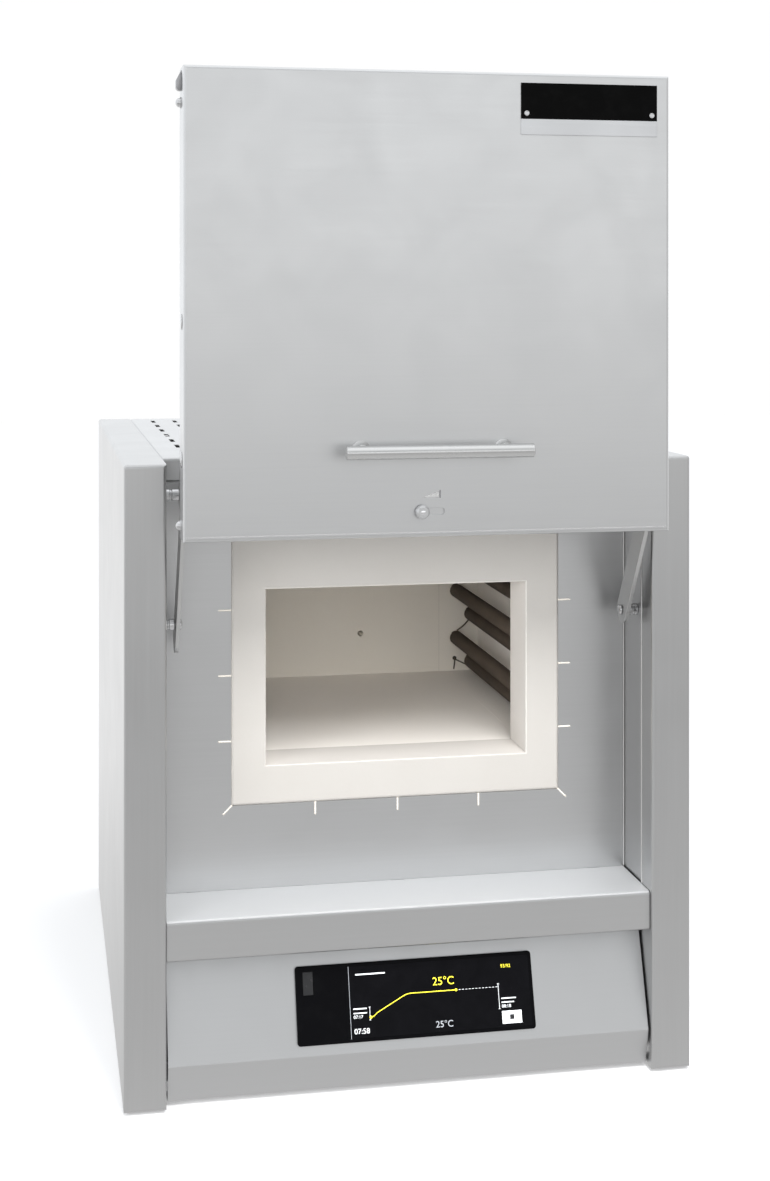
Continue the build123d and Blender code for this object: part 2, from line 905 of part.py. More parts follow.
for x in (-screw_x, screw_x):
    for height in screw_heights:
        rear_panel -= prism(screw_radius + seam / 2, (x, casing_depth - 9, height), (0, 1, 0), 18)
rear_screws = group(rear_screw(x, z) for x in (-screw_x, screw_x) for z in screw_heights)

# Power parts on the base pan
floor_z = pan_rise + sheet
sink_x = -slot_pitch * 2
sink_y = casing_depth * 0.6
sink_low = (sink_x - heat_sink_width / 2, sink_x + heat_sink_width / 2)
sink_y_span = (sink_y, sink_y + heat_sink_length)
fin_pitch = (heat_sink_width - fin_thickness) / (fins - 1)
heat_sink = block(sink_low, sink_y_span, (floor_z + fin_height, floor_z + fin_height + heat_sink_base))
for number in range(fins):
    fin_x = sink_low[0] + fin_pitch * number
    heat_sink += block(
        (fin_x, fin_x + fin_thickness), sink_y_span, (floor_z, floor_z + fin_height)
    )
relay_z = floor_z + fin_height + heat_sink_base
sink_middle = sink_y + heat_sink_length / 2


def on_pan(x, width, length, z):
    return block((x - width / 2, x + width / 2), (sink_middle - length / 2, sink_middle + length / 2), z)


solid_state_relay = on_pan(sink_x, relay_width, relay_length, (relay_z, relay_z + relay_height))
solid_state_relay = chamfer(solid_state_relay.faces().sort_by(Axis.Z)[-1].edges(), 2)
terminal_top = floor_z + terminal_height
terminal_block = on_pan(terminal_x, terminal_width, terminal_length, (floor_z, terminal_top))
terminal_pitch = terminal_width / terminals
for number in range(terminals):
    place = terminal_x + (number - (terminals - 1) / 2) * terminal_pitch
    terminal_block -= on_pan(place, terminal_pitch / 2, terminal_length / 2, (terminal_top - bend, terminal_top + 1))

# Lift linkage: two pairs of flat arms that keep the door upright as it rises
along_arm = Vector(0, -math.cos(math.radians(open_angle)), math.sin(math.radians(open_angle)))


def pivot_point(height, distance=0):
    place = Vector(0, pivot_y, pivot_z + height) + along_arm * distance
    return place


def arm(x, height, tail, door_clearance):
    start = pivot_point(height, -tail)
    length = arm_length + tail
    middle = start + along_arm * (length / 2)
    flat = Plane(origin=(x, middle.Y, middle.Z), x_dir=along_arm.to_tuple(), z_dir=(1, 0, 0))
    bar = extrude(flat * SlotCenterToCenter(length, arm_width), amount=arm_thickness)
    for distance, clearance in ((0, pin_clearance), (arm_length, door_clearance)):
        eye = pivot_point(height, distance)
        bar -= bore(pin_radius + clearance, (x - 1, eye.Y, eye.Z), (1, 0, 0), arm_thickness + 2)
    return bar


right_lower_arm = arm(lower_arm_x, 0, 0, pin_clearance)
left_lower_arm = to_left(arm(lower_arm_x, 0, arm_tail, pin_clearance))
right_upper_arm = arm(upper_arm_x, pivot_spacing, 0, 2 * pin_clearance)
left_upper_arm = to_left(right_upper_arm)


def casing_pivot(arm_x, height, head_radius):
    # A bolt from inside the arm, through it and the wall, into the doubler.
    start = arm_x - arm_gap
    end = wall_x + wall_sheet + doubler_thickness
    bolt = rod(pin_radius, (start, pivot_y, height), (1, 0, 0), end - start)
    head_depth = pin_radius
    bolt += prism(head_radius, (start - head_depth, pivot_y, height), (1, 0, 0), head_depth)
    return bolt


def casing_spacer(arm_x, height):
    start = arm_x + arm_thickness + arm_gap
    hole = pin_radius + pin_clearance
    place = (start, pivot_y, height)
    return flat_sleeve(spacer_radius, hole, place, (1, 0, 0), wall_x - start, eye_sides)


upper_pivot_z = pivot_z + pivot_spacing
right_pivots = [
    casing_pivot(lower_arm_x, pivot_z, pin_head),
    casing_pivot(upper_arm_x, upper_pivot_z, spacer_radius),
]
casing_pivot_bolts = group(right_pivots + [to_left(bolt) for bolt in right_pivots])
right_spacers = [
    casing_spacer(lower_arm_x, pivot_z),
    casing_spacer(upper_arm_x, upper_pivot_z),
]
casing_pivot_spacers = group(right_spacers + [to_left(ring) for ring in right_spacers])


def door_pivot(arm_x, eye, head_radius, spacer):
    # A rivet with a low head outside the door's flange and a small one inside the arm.
    start = arm_x - arm_gap
    end = door_width / 2
    head_depth = pin_radius / 2
    pin = rod(pin_radius, (start, eye.Y, eye.Z), (1, 0, 0), end - start)
    pin += prism(door_head_radius, (end, eye.Y, eye.Z), (1, 0, 0), head_depth, eye_sides)
    pin += prism(head_radius, (start - head_depth, eye.Y, eye.Z), (1, 0, 0), head_depth)
    if spacer:
        outside = arm_x + arm_thickness + arm_gap
        width = flange_x - outside
        pin += prism(door_spacer_radius, (outside, eye.Y, eye.Z), (1, 0, 0), width, eye_sides)
    return pin


lower_eye = pivot_point(0, arm_length)
upper_eye = pivot_point(pivot_spacing, arm_length)
right_door_pins = [
    door_pivot(lower_arm_x, lower_eye, pin_head, False),
    door_pivot(upper_arm_x, upper_eye, pin_head, True),
]
door_pivot_pins = group(right_door_pins + [to_left(pin) for pin in right_door_pins])

# Door shell, drawn from its lower front edge and then moved to its open place
half_door = door_width / 2
shell = tray(
    (-half_door, half_door), (0, door_depth), (0, door_height), Axis.Y, 0, door_sheet
)
lip_half = inner_tray_width / 2
lip_y = (door_depth - door_sheet, door_depth)
shell += block((-lip_half, lip_half), lip_y, (door_sheet / 2, door_return))
shell += block((-lip_half, lip_half), lip_y, (door_height - door_return, door_height - door_sheet / 2))
slot_x = slider_x + slider_travel / 2
slot_run = slider_travel + 2 * knob_neck + 4 * seam
slot_length_x = slot_run + slider_slot_height - 2 * knob_neck - seam
slot_cut = centred(slot_x, slider_rise, slot_length_x, slider_slot_height, (-door_sheet, 3 * door_sheet))
shell -= chamfer(slot_cut.edges().filter_by(Axis.Y), slider_slot_height / 4)
for side in (-1, 1):
    for rise in (door_pivot_rise, door_pivot_rise + pivot_spacing):
        shell -= bore(
            pin_radius + pin_clearance,
            (side * half_door - 9, door_pivot_depth, rise),
            (1, 0, 0),
            18,
        )
    shell -= prism(
        screw_radius + pin_clearance, (side * post_spacing / 2, -9, handle_rise), (0, 1, 0), 18
    )
for rise in (side_nut_low, side_nut_high):
    shell -= prism(screw_radius + pin_clearance, (-half_door - 9, side_nut_depth, rise), (1, 0, 0), 18)
door_shell = door_front * shell

# Inner tray and the fibre block that closes the mouth
tray_half = inner_tray_width / 2
inner_front = door_sheet + seam
inner = tray(
    (-tray_half, tray_half),
    (inner_front, door_depth - 2 * door_sheet - seam),
    (inner_tray_low, inner_tray_high),
    Axis.Y,
    -1,
)
plug_half = collar_half + plug_side
plug_low = collar_low - plug_side - door_closed_z
plug_high = collar_high + plug_side - door_closed_z
plug_back = panel_setback - door_closed_y - plug_gap
inner -= block((-plug_half, plug_half), (0, 2 * door_depth), (plug_low, plug_high))
door_inner_tray = door_front * inner
fill = block(
    (-tray_half + sheet + seam, tray_half - sheet - seam),
    (inner_front, door_depth - 2 * door_sheet - sheet - 2 * seam),
    (inner_tray_low + sheet + seam, inner_tray_high - sheet - seam),
)
fill = chamfer(fill.faces().sort_by(Axis.Y)[-1].edges(), bend)
plug = block(
    (-plug_half + seam, plug_half - seam),
    (door_depth / 2, plug_back),
    (plug_low + seam, plug_high - seam),
)
door_insulation = door_front * (fill + chamfer(plug.faces().sort_by(Axis.Y)[-1].edges(), bend))

# Handle
handle_y = -handle_standoff
bar = rod(handle_radius, (-handle_length / 2, handle_y, handle_rise), (1, 0, 0), handle_length)
bar = chamfer(bar.edges(), seam)
for side in (-1, 1):
    post_x = side * post_spacing / 2
    bar += rod(post_radius, (post_x, handle_y, handle_rise), (0, 1, 0), handle_standoff)
    bar += prism(screw_radius, (post_x, 0, handle_rise), (0, 1, 0), door_sheet)
handle = door_front * bar

# Air slider: a knob that runs in the door's slot and moves a plate behind it
plate_front = door_sheet + seam / 2
knob_start = (slider_x, -knob_neck, slider_rise)
knob = prism(knob_radius, knob_start, (0, -1, 0), knob_height - knob_neck, knob_sides)
knob = chamfer(knob.faces().sort_by(Axis.Y)[0].edges(), knob_radius / 4)
knob += prism(knob_neck, knob_start, (0, 1, 0), knob_neck + plate_front, eye_sides)
slider_knob = door_front * knob
air_slide = block(
    (slider_x - slider_plate_width / 2, slider_x + slider_plate_width / 2),
    (plate_front, plate_front + slider_thickness),
    (slider_rise - slider_plate_height / 2, slider_rise + slider_plate_height / 2),
)
slider_plate = door_front * air_slide
guide_half = slider_plate_width / 2 + slider_travel + 2 * bend
guide_run = seam / 2
guide_edge = slider_plate_height / 2 + guide_run


def guide(direction):
    # A strip of Z section that holds one edge of the slider plate to the door.
    edge = slider_rise + direction * guide_edge
    far = edge + direction * 2 * bend
    back = plate_front + slider_thickness + guide_run
    x = (slot_x - guide_half, slot_x + guide_half)
    foot_part = block(x, (door_sheet, back + sheet), sorted((edge, far)))
    hook = block(x, (back, back + sheet), sorted((edge - direction * bend, edge)))
    return foot_part + hook


slider_guides = door_front * group([guide(-1), guide(1)])

# Bare name plate with its strip and two screws
plate_top = door_height - name_plate_drop
plate_right = half_door - name_plate_inset
name_plate_left = plate_right - name_plate_width
plate_low = plate_top - name_plate_height
name_plate = block((name_plate_left, plate_right), (-plate_sheet, 0), (plate_low, plate_top))
name_plate = door_front * name_plate
name_strip = block(
    (name_plate_left, plate_right), (-plate_sheet, 0), (plate_low - strip_height, plate_low)
)
name_plate_strip = door_front * name_strip
screw_inset = 5.0
plate_screws = []
for place in (name_plate_left + screw_inset, plate_right - screw_inset):
    head_start = (place, -plate_sheet, plate_low + screw_inset)
    plate_screws.append(prism(screw_radius, head_start, (0, -1, 0), plate_sheet))
plate_screws = door_front * group(plate_screws)


def side_nut(rise):
    # A dome nut outside the door's left flange on a short stud.
    outside = -half_door
    nut = prism(2.2 * screw_radius, (outside, side_nut_depth, rise), (-1, 0, 0), 2 * screw_radius)
    nut = chamfer(nut.faces().sort_by(Axis.X)[0].edges(), screw_radius / 2)
    return nut + prism(screw_radius, (outside, side_nut_depth, rise), (1, 0, 0), 3 * door_sheet)


door_side_nuts = door_front * group(side_nut(rise) for rise in (side_nut_low, side_nut_high))

parts = {
    "right_cheek": right_cheek,
    "left_cheek": to_left(right_cheek),
    "right_inner_wall": right_inner_wall,
    "left_inner_wall": to_left(right_inner_wall),
    "right_pivot_doubler": right_pivot_doubler,
    "left_pivot_doubler": to_left(right_pivot_doubler),
    "top_cover": top_cover,
    "base_pan": base_pan,
    "feet": feet,
    "front_panel": front_panel,
    "shelf": shelf,
    "control_fascia": control_fascia,
    "controller_bezel": controller_bezel,
    "controller_screen": controller_screen,
    "controller_housing": controller_housing,
    "usb_flap": usb_flap,
    "usb_socket": usb_socket,
    "collar": collar,
    "chamber_floor": chamber_floor,
    "floor_plate": floor_plate,
    "chamber_roof": chamber_roof,
    "chamber_right_wall": chamber_right_wall,
    "chamber_left_wall": to_left(chamber_right_wall),
    "chamber_rear_wall": chamber_rear_wall,
    "backup_floor": backup_floor,
    "backup_roof": backup_roof,
    "backup_right": backup_right,
    "backup_left": to_left(backup_right),
    "backup_rear": backup_rear,
    "insulation_tray": insulation_tray,
    "right_support_tubes": right_support_tubes,
    "left_support_tubes": to_left(right_support_tubes),
    "right_heating_coils": right_heating_coils,
    "left_heating_coils": to_left(right_heating_coils),
    "coil_leads": pair(right_coil_leads),
    "thermocouple": thermocouple,
    "thermocouple_head": thermocouple_head,
    "exhaust_duct": exhaust_duct,
    "rear_panel": rear_panel,
    "rear_screws": rear_screws,
    "mains_inlet": mains_inlet,
    "inlet_pins": inlet_pins,
    "switch_frame": switch_frame,
    "switch_rocker": switch_rocker,
    "heat_sink": heat_sink,
    "solid_state_relay": solid_state_relay,
    "terminal_block": terminal_block,
    "lower_arms": group([right_lower_arm, left_lower_arm]),
    "upper_arms": group([right_upper_arm, left_upper_arm]),
    "casing_pivot_bolts": casing_pivot_bolts,
    "casing_pivot_spacers": casing_pivot_spacers,
    "door_shell": door_shell,
    "door_inner_tray": door_inner_tray,
    "door_insulation": door_insulation,
    "door_fittings": group([door_pivot_pins, door_side_nuts]),
    "handle": handle,
    "slider_guides": slider_guides,
    "air_slider": group([slider_knob, slider_plate]),
    "name_plate": name_plate,
    "name_plate_strip": group([name_plate_strip, plate_screws]),
}

for name, piece in parts.items():
    export_step(origin * piece, f"parts/{name}.step")
    print(name, len(piece.solids()))

print("origin moves y by", origin.position.Y, "and z by", foot_show)
print("lower pivot", pivot_y, pivot_z, "door", door_y, door_z, "swing", swing)
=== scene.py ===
import json
import math
import bmesh
import bpy
from mathutils import Matrix, Vector


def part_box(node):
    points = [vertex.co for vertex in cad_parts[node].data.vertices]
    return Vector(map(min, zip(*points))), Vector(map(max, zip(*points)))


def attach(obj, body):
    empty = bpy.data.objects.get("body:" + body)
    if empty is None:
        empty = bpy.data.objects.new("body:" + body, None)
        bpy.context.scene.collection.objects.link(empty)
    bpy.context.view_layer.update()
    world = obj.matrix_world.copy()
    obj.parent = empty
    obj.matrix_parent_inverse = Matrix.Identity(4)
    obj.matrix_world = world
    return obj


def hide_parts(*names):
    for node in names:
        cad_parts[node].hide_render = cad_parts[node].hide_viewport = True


# A bench-top muffle furnace with its lift door raised. The solids come from the
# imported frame; this script gives them their finishes and the fine pieces.

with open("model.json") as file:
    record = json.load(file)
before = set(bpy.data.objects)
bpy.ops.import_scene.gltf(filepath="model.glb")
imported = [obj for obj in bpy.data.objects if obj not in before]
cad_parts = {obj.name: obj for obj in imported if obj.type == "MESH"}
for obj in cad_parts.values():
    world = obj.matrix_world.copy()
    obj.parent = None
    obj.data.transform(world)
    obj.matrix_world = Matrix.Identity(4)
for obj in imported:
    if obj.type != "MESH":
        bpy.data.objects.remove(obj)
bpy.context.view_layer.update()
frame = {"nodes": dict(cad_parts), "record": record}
print("frame loaded with", len(frame["nodes"]), "nodes")

scene = bpy.context.scene
scene.view_settings.view_transform = "Standard"


# Small tools for node trees

def setInputs(tree, sockets, values):
    for key, value in values.items():
        if isinstance(value, bpy.types.NodeSocket):
            tree.links.new(value, sockets[key])
        else:
            sockets[key].default_value = (*value, 1) if sockets[key].type == "RGBA" else value


def addNode(tree, kind, inputs=None, **settings):
    # Adds a node and gives its outputs.
    node = tree.nodes.new(kind)
    for name, value in settings.items():
        setattr(node, name, value)
    setInputs(tree, node.inputs, inputs or {})
    return node.outputs


def startGroup(name, inputs, outputs, kind="ShaderNodeTree"):
    group = bpy.data.node_groups.new(name, kind)
    for direction, sockets in (("INPUT", inputs), ("OUTPUT", outputs)):
        for label, socket in sockets.items():
            group.interface.new_socket(name=label, in_out=direction, socket_type="NodeSocket" + socket)
    given = group.nodes.new("NodeGroupInput").outputs
    return group, given, group.nodes.new("NodeGroupOutput").inputs


def useGroup(tree, group, inputs):
    return addNode(tree, "ShaderNodeGroup", inputs, node_tree=group)


def calc(tree, operation, first, second=0.0):
    return addNode(tree, "ShaderNodeMath", {0: first, 1: second}, operation=operation)[0]


def blend(tree, factor, first, second):
    return addNode(tree, "ShaderNodeMix", {"Factor": factor, 6: first, 7: second}, data_type="RGBA")[2]


def remap(tree, value, low=0.0, high=1.0, first=0.0, last=1.0):
    ends = {"Value": value, "From Min": low, "From Max": high, "To Min": first, "To Max": last}
    return addNode(tree, "ShaderNodeMapRange", ends)[0]


def objectPlace(tree):
    return addNode(tree, "ShaderNodeTexCoord")["Object"]


def surfaceNormal(tree):
    return addNode(tree, "ShaderNodeNewGeometry")["Normal"]


def axisOf(tree, vector, axis):
    return addNode(tree, "ShaderNodeSeparateXYZ", {"Vector": vector})[axis]


def noise(tree, place, scale, detail, **more):
    inputs = {"Vector": place, "Scale": scale, "Detail": detail, **more}
    return addNode(tree, "ShaderNodeTexNoise", inputs)["Fac"]


def cellDistance(tree, place, scale):
    return addNode(tree, "ShaderNodeTexVoronoi", {"Vector": place, "Scale": scale})["Distance"]


def greyRamp(tree, value, stops):
    # A ramp of greys: each stop is (place, tone).
    ramp = tree.nodes.new("ShaderNodeValToRGB")
    tree.links.new(value, ramp.inputs["Fac"])
    elements = ramp.color_ramp.elements
    for number, (place, tone) in enumerate(stops):
        element = elements[number] if number < 2 else elements.new(place)
        element.position = place
        element.color = (tone, tone, tone, 1)
    return ramp.outputs["Color"]


# Shader groups that several finishes share

surfaceOutputs = {"Color": "Color", "Roughness": "Float", "Height": "Float"}


def buildBrushedSheet():
    inputs = {"Light": "Color", "Dark": "Color", "Stretch": "Vector", "Roughness": "Float", "Spread": "Float"}
    group, given, out = startGroup("brushedSheet", inputs, surfaceOutputs)
    place = objectPlace(group)
    pulled = addNode(group, "ShaderNodeMapping", {"Vector": place, "Scale": given["Stretch"]})[0]
    lines = noise(group, pulled, 1.0, 7.0, Roughness=0.72)
    clouds = noise(group, place, 4.0, 3.0, Roughness=0.55)
    smudges = noise(group, place, 17.0, 5.0, Distortion=0.6)
    tone = calc(group, "ADD", calc(group, "MULTIPLY", lines, 0.55), calc(group, "MULTIPLY", clouds, 0.45))
    uneven = calc(group, "SUBTRACT", calc(group, "ADD", smudges, lines), 1.0)
    spread = calc(group, "MULTIPLY", uneven, given["Spread"])
    colour = blend(group, tone, given["Dark"], given["Light"])
    rough = calc(group, "ADD", given["Roughness"], spread)
    setInputs(group, out, {"Color": colour, "Roughness": rough, "Height": lines})
    return group


def buildWornEdge():
    # Where a surface turns sharply, broken up by noise.
    group, given, out = startGroup("wornEdge", {"Width": "Float", "Amount": "Float"}, {"Mask": "Float"})
    rounded = addNode(group, "ShaderNodeBevel", {"Radius": given["Width"]}, samples=4)[0]
    both = {0: rounded, 1: surfaceNormal(group)}
    facing = addNode(group, "ShaderNodeVectorMath", both, operation="DOT_PRODUCT")["Value"]
    turned = calc(group, "MULTIPLY", calc(group, "SUBTRACT", 1.0, facing), 4.0)
    breaks = noise(group, objectPlace(group), 160.0, 3.0)
    rough = calc(group, "MULTIPLY", calc(group, "MULTIPLY", turned, breaks), given["Amount"])
    setInputs(group, out, {"Mask": addNode(group, "ShaderNodeClamp", {"Value": rough})[0]})
    return group


def buildFibreFelt():
    # Vacuum-formed fibre: soft mottling, fine felt and a few dark specks.
    inputs = {"Light": "Color", "Dark": "Color", "Felt size": "Float"}
    group, given, out = startGroup("fibreFelt", inputs, {"Color": "Color", "Height": "Float"})
    place = objectPlace(group)
    mottle = noise(group, place, 14.0, 6.0, Roughness=0.6)
    felt = noise(group, place, given["Felt size"], 4.0, Distortion=1.5)
    speck = remap(group, cellDistance(group, place, 210.0), 0.02, 0.1)
    tone = calc(group, "ADD", calc(group, "MULTIPLY", mottle, 0.7), calc(group, "MULTIPLY", felt, 0.3))
    base = blend(group, tone, given["Dark"], given["Light"])
    clean = calc(group, "ADD", calc(group, "MULTIPLY", speck, 0.3), 0.7)
    height = calc(group, "ADD", calc(group, "MULTIPLY", felt, 0.6), calc(group, "MULTIPLY", speck, 0.4))
    setInputs(group, out, {"Color": blend(group, clean, given["Dark"], base), "Height": height})
    return group


def buildMouldGrain():
    # The fine leathery grain and dust of moulded plastic and rubber.
    inputs = {"Tone": "Color", "Dust": "Color", "Grain": "Float", "Roughness": "Float"}
    group, given, out = startGroup("mouldGrain", inputs, surfaceOutputs)
    place = objectPlace(group)
    dusty = remap(group, noise(group, place, 60.0, 6.0, Roughness=0.7), 0.48, 0.85, 0.0, 0.35)
    colour = blend(group, dusty, given["Tone"], given["Dust"])
    rough = calc(group, "ADD", given["Roughness"], calc(group, "MULTIPLY", dusty, 0.4))
    height = cellDistance(group, place, given["Grain"])
    setInputs(group, out, {"Color": colour, "Roughness": rough, "Height": height})
    return group


brushedSheet = buildBrushedSheet()
wornEdge = buildWornEdge()
fibreFelt = buildFibreFelt()
mouldGrain = buildMouldGrain()
print("shader groups built")


# Finishes

def clearedTree(owner):
    owner.use_nodes = True
    owner.node_tree.nodes.clear()
    return owner.node_tree


def newMaterial(name):
    material = bpy.data.materials.new(name)
    return material, clearedTree(material)


def shade(tree, inputs):
    shader = addNode(tree, "ShaderNodeBsdfPrincipled", inputs)[0]
    addNode(tree, "ShaderNodeOutputMaterial", {"Surface": shader})


def roundedNormal(tree, height, strength, distance, corner):
    soft = addNode(tree, "ShaderNodeBevel", {"Radius": corner}, samples=4)[0]
    inputs = {"Height": height, "Strength": strength, "Distance": distance, "Normal": soft}
    return addNode(tree, "ShaderNodeBump", inputs)[0]


def pick(values, *labels):
    # The named values, under the names that a group's inputs have.
    return {label.capitalize(): values[label] for label in labels}


def steelFinish(name, values):
    material, tree = newMaterial(name)
    sheet = useGroup(tree, brushedSheet, pick(values, "light", "dark", "stretch", "roughness", "spread"))
    edge = useGroup(tree, wornEdge, {"Width": 0.0012, "Amount": values["wear"]})["Mask"]
    shine = tuple(min(1.0, tone * 1.2) for tone in values["light"])
    surfaceTone = blend(tree, edge, sheet["Color"], shine)
    metal = 1.0
    if "paintedTopTone" in values:
        # Upward faces are painted a lighter satin white that scatters more than it mirrors: a painted sheen
        # for the light that falls on the level top.
        topLightMask = remap(tree, axisOf(tree, surfaceNormal(tree), "Z"), 0.5, 0.95)
        surfaceTone = blend(tree, topLightMask, surfaceTone, values["paintedTopTone"])
        metal = remap(tree, topLightMask, first=1.0, last=0.66)
    normal = roundedNormal(tree, sheet["Height"], values["bump"], 0.00006, 0.0007)
    shade(tree, {"Base Color": surfaceTone, "Metallic": metal, "Roughness": sheet["Roughness"], "Normal": normal})
    return material


def fibreFinish(name, values):
    material, tree = newMaterial(name)
    light, dark = values["light"], values["dark"]
    if "cut" in values:
        # The mouth's cut faces are painted a lighter tone than the front face: painted light on the reveal,
        # with the front left in painted shade.
        inner = remap(tree, axisOf(tree, surfaceNormal(tree), "Y"), -0.9, -0.6)
        light = blend(tree, inner, light, values["cut"])
        dark = blend(tree, inner, dark, [tone * 0.93 for tone in values["cut"]])
    felt = useGroup(tree, fibreFelt, {"Light": light, "Dark": dark, "Felt size": values["felt"]})
    edge = useGroup(tree, wornEdge, {"Width": 0.003, "Amount": values["wear"]})["Mask"]
    rubbed = blend(tree, edge, felt["Color"], values["dark"])
    if "seam" in values:
        # A fine joint in the board on each side of its middle.
        side = calc(tree, "ABSOLUTE", axisOf(tree, objectPlace(tree), "X"))
        off = calc(tree, "ABSOLUTE", calc(tree, "SUBTRACT", side, values["seam"]))
        rubbed = blend(tree, remap(tree, off, 0.0, 0.0006, 0.25, 0.0), rubbed, (0.25, 0.23, 0.2))
    normal = roundedNormal(tree, felt["Height"], values["bump"], 0.0006, values["corner"])
    shade(tree, {"Base Color": rubbed, "Roughness": 0.95, "Specular IOR Level": 0.15, "Normal": normal})
    return material


def mouldedFinish(name, values):
    material, tree = newMaterial(name)
    mould = useGroup(tree, mouldGrain, pick(values, "tone", "dust", "grain", "roughness"))
    edge = useGroup(tree, wornEdge, {"Width": 0.0008, "Amount": 0.6})["Mask"]
    surfaceTone = blend(tree, edge, mould["Color"], values["dust"])
    normal = roundedNormal(tree, mould["Height"], values["bump"], 0.00005, 0.0005)
    rough, shine = mould["Roughness"], values["shine"]
    shade(tree, {"Base Color": surfaceTone, "Roughness": rough, "Specular IOR Level": shine, "Normal": normal})
    return material


def buildKinds(build, common, kinds):
    return {name: build(name, {**common, **changed}) for name, changed in kinds.items()}


upGrain = (420, 420, 7)  # brushed along z
backGrain = (420, 7, 420)  # brushed along y
sheetValues = {
    "light": (0.66, 0.662, 0.664),
    "dark": (0.56, 0.562, 0.565),
    "stretch": (7, 420, 420),
    "roughness": 0.34,
    "spread": 0.14,
    "wear": 0.5,
    "bump": 0.12,
}
steelKinds = {
    "sheetAcross": {},
    "sheetUp": {"stretch": upGrain, "light": (0.6, 0.6, 0.6), "dark": (0.5, 0.5, 0.5)},
    "sheetBack": {"stretch": backGrain, "light": (0.62, 0.622, 0.625), "dark": (0.54, 0.542, 0.545)},
    "doorSheet": {"light": (0.7, 0.703, 0.706), "dark": (0.61, 0.613, 0.616)},
    "shelfSheet": {
        # The shelf's upward faces get a painted sheen of this lighter tone.
        "light": (0.6, 0.6, 0.6), "dark": (0.52, 0.52, 0.52), "roughness": 0.42, "paintedTopTone": (0.93, 0.94, 0.95)
    },
    "fasciaSheet": {"light": (0.62, 0.622, 0.625), "dark": (0.55, 0.552, 0.555), "roughness": 0.4},
    "plainSheet": {"light": (0.5, 0.5, 0.51), "dark": (0.4, 0.4, 0.41), "roughness": 0.42, "spread": 0.2},
    # A lighter copy of the sheet for the edge beads: a painted highlight.
    "paintedHighlight": {
        "light": (0.86, 0.85, 0.84), "dark": (0.76, 0.75, 0.74), "roughness": 0.3, "stretch": upGrain
    },
    "polishedDome": {
        "light": (0.92, 0.92, 0.93), "dark": (0.84, 0.84, 0.85),
        "roughness": 0.07, "spread": 0.04, "bump": 0.04,
    },
    "drawnBar": {"light": (0.72, 0.72, 0.71), "dark": (0.58, 0.58, 0.58), "roughness": 0.26},
    "armStrip": {"light": (0.62, 0.62, 0.61), "dark": (0.5, 0.5, 0.5), "roughness": 0.32, "stretch": upGrain},
    "brightFixing": {
        "light": (0.68, 0.68, 0.68), "dark": (0.52, 0.52, 0.53), "roughness": 0.2, "spread": 0.08
    },
    "sinkAluminium": {
        "light": (0.74, 0.75, 0.76), "dark": (0.62, 0.63, 0.64), "roughness": 0.38, "stretch": backGrain
    },
    "pinBrass": {"light": (0.8, 0.62, 0.3), "dark": (0.62, 0.45, 0.2), "roughness": 0.24},
    "plateSilver": {
        "light": (0.645, 0.65, 0.66), "dark": (0.56, 0.565, 0.575), "roughness": 0.3, "wear": 0.9
    },
}
finishes = buildKinds(steelFinish, sheetValues, steelKinds)

# These base tones stay only on the collar and the door's lining, painted far darker than the same fibre in
# the chamber: a painted shade.
fibreValues = {
    "light": (0.425, 0.41, 0.389),
    "dark": (0.385, 0.366, 0.341),
    "felt": 420.0,
    "wear": 0.5,
    "bump": 0.25,
    "corner": 0.0016,
}
ceramicGrain = {"felt": 800.0, "bump": 0.1}
fibreKinds = {
    # The collar's cut faces get a lighter painted tone than its front.
    "collarFibre": {"cut": (0.7, 0.67, 0.635)},
    "slitFibre": {"light": (0.74, 0.7, 0.64), "dark": (0.66, 0.62, 0.55)},
    "chamberFibre": {"light": (0.98, 0.94, 0.89), "dark": (0.94, 0.895, 0.835)},
    "rearFibre": {"light": (0.92, 0.875, 0.795), "dark": (0.84, 0.79, 0.705), "seam": 0.13},
    "backupFibre": {"light": (0.84, 0.81, 0.74), "dark": (0.72, 0.68, 0.6), "felt": 240.0, "bump": 0.5},
    "firedPlate": {
        "light": (0.985, 0.95, 0.905), "dark": (0.94, 0.9, 0.845),
        "felt": 700.0, "bump": 0.12, "wear": 0.0, "corner": 0.0001,
    },
    "tubeCeramic": {"light": (0.82, 0.78, 0.7), "dark": (0.68, 0.63, 0.54), **ceramicGrain},
    "probeCeramic": {"light": (0.86, 0.81, 0.73), "dark": (0.72, 0.67, 0.58), **ceramicGrain},
    # Near black: the painted shade of the holes that the leads pass into.
    "holeShadeCeramic": {"light": (0.09, 0.08, 0.07), "dark": (0.04, 0.035, 0.03), **ceramicGrain},
}
finishes.update(buildKinds(fibreFinish, fibreValues, fibreKinds))

mouldValues = {
    "tone": (0.018, 0.018, 0.02),
    "dust": (0.1, 0.1, 0.1),
    "grain": 1400.0,
    "roughness": 0.34,
    "bump": 0.1,
    "shine": 0.4,
}
mouldKinds = {
    "bezelBlack": {
        "tone": (0.002, 0.002, 0.0025), "dust": (0.006, 0.006, 0.0065),
        "roughness": 0.16, "shine": 0.04, "bump": 0.02,
    },
    "flapBlack": {
        "tone": (0.012, 0.012, 0.013), "dust": (0.03, 0.03, 0.03),
        "roughness": 0.22, "shine": 0.3, "bump": 0.04,
    },
    "housingBlack": {"roughness": 0.5},
    "footRubber": {"tone": (0.02, 0.02, 0.02), "roughness": 0.75, "grain": 700.0, "bump": 0.3},
    "rockerGreen": {"tone": (0.03, 0.3, 0.07), "dust": (0.2, 0.4, 0.22), "roughness": 0.25},
    "plateBlack": {
        "tone": (0.001, 0.001, 0.001), "dust": (0.004, 0.004, 0.004),
        "roughness": 0.14, "shine": 0.02, "bump": 0.03,
    },
}
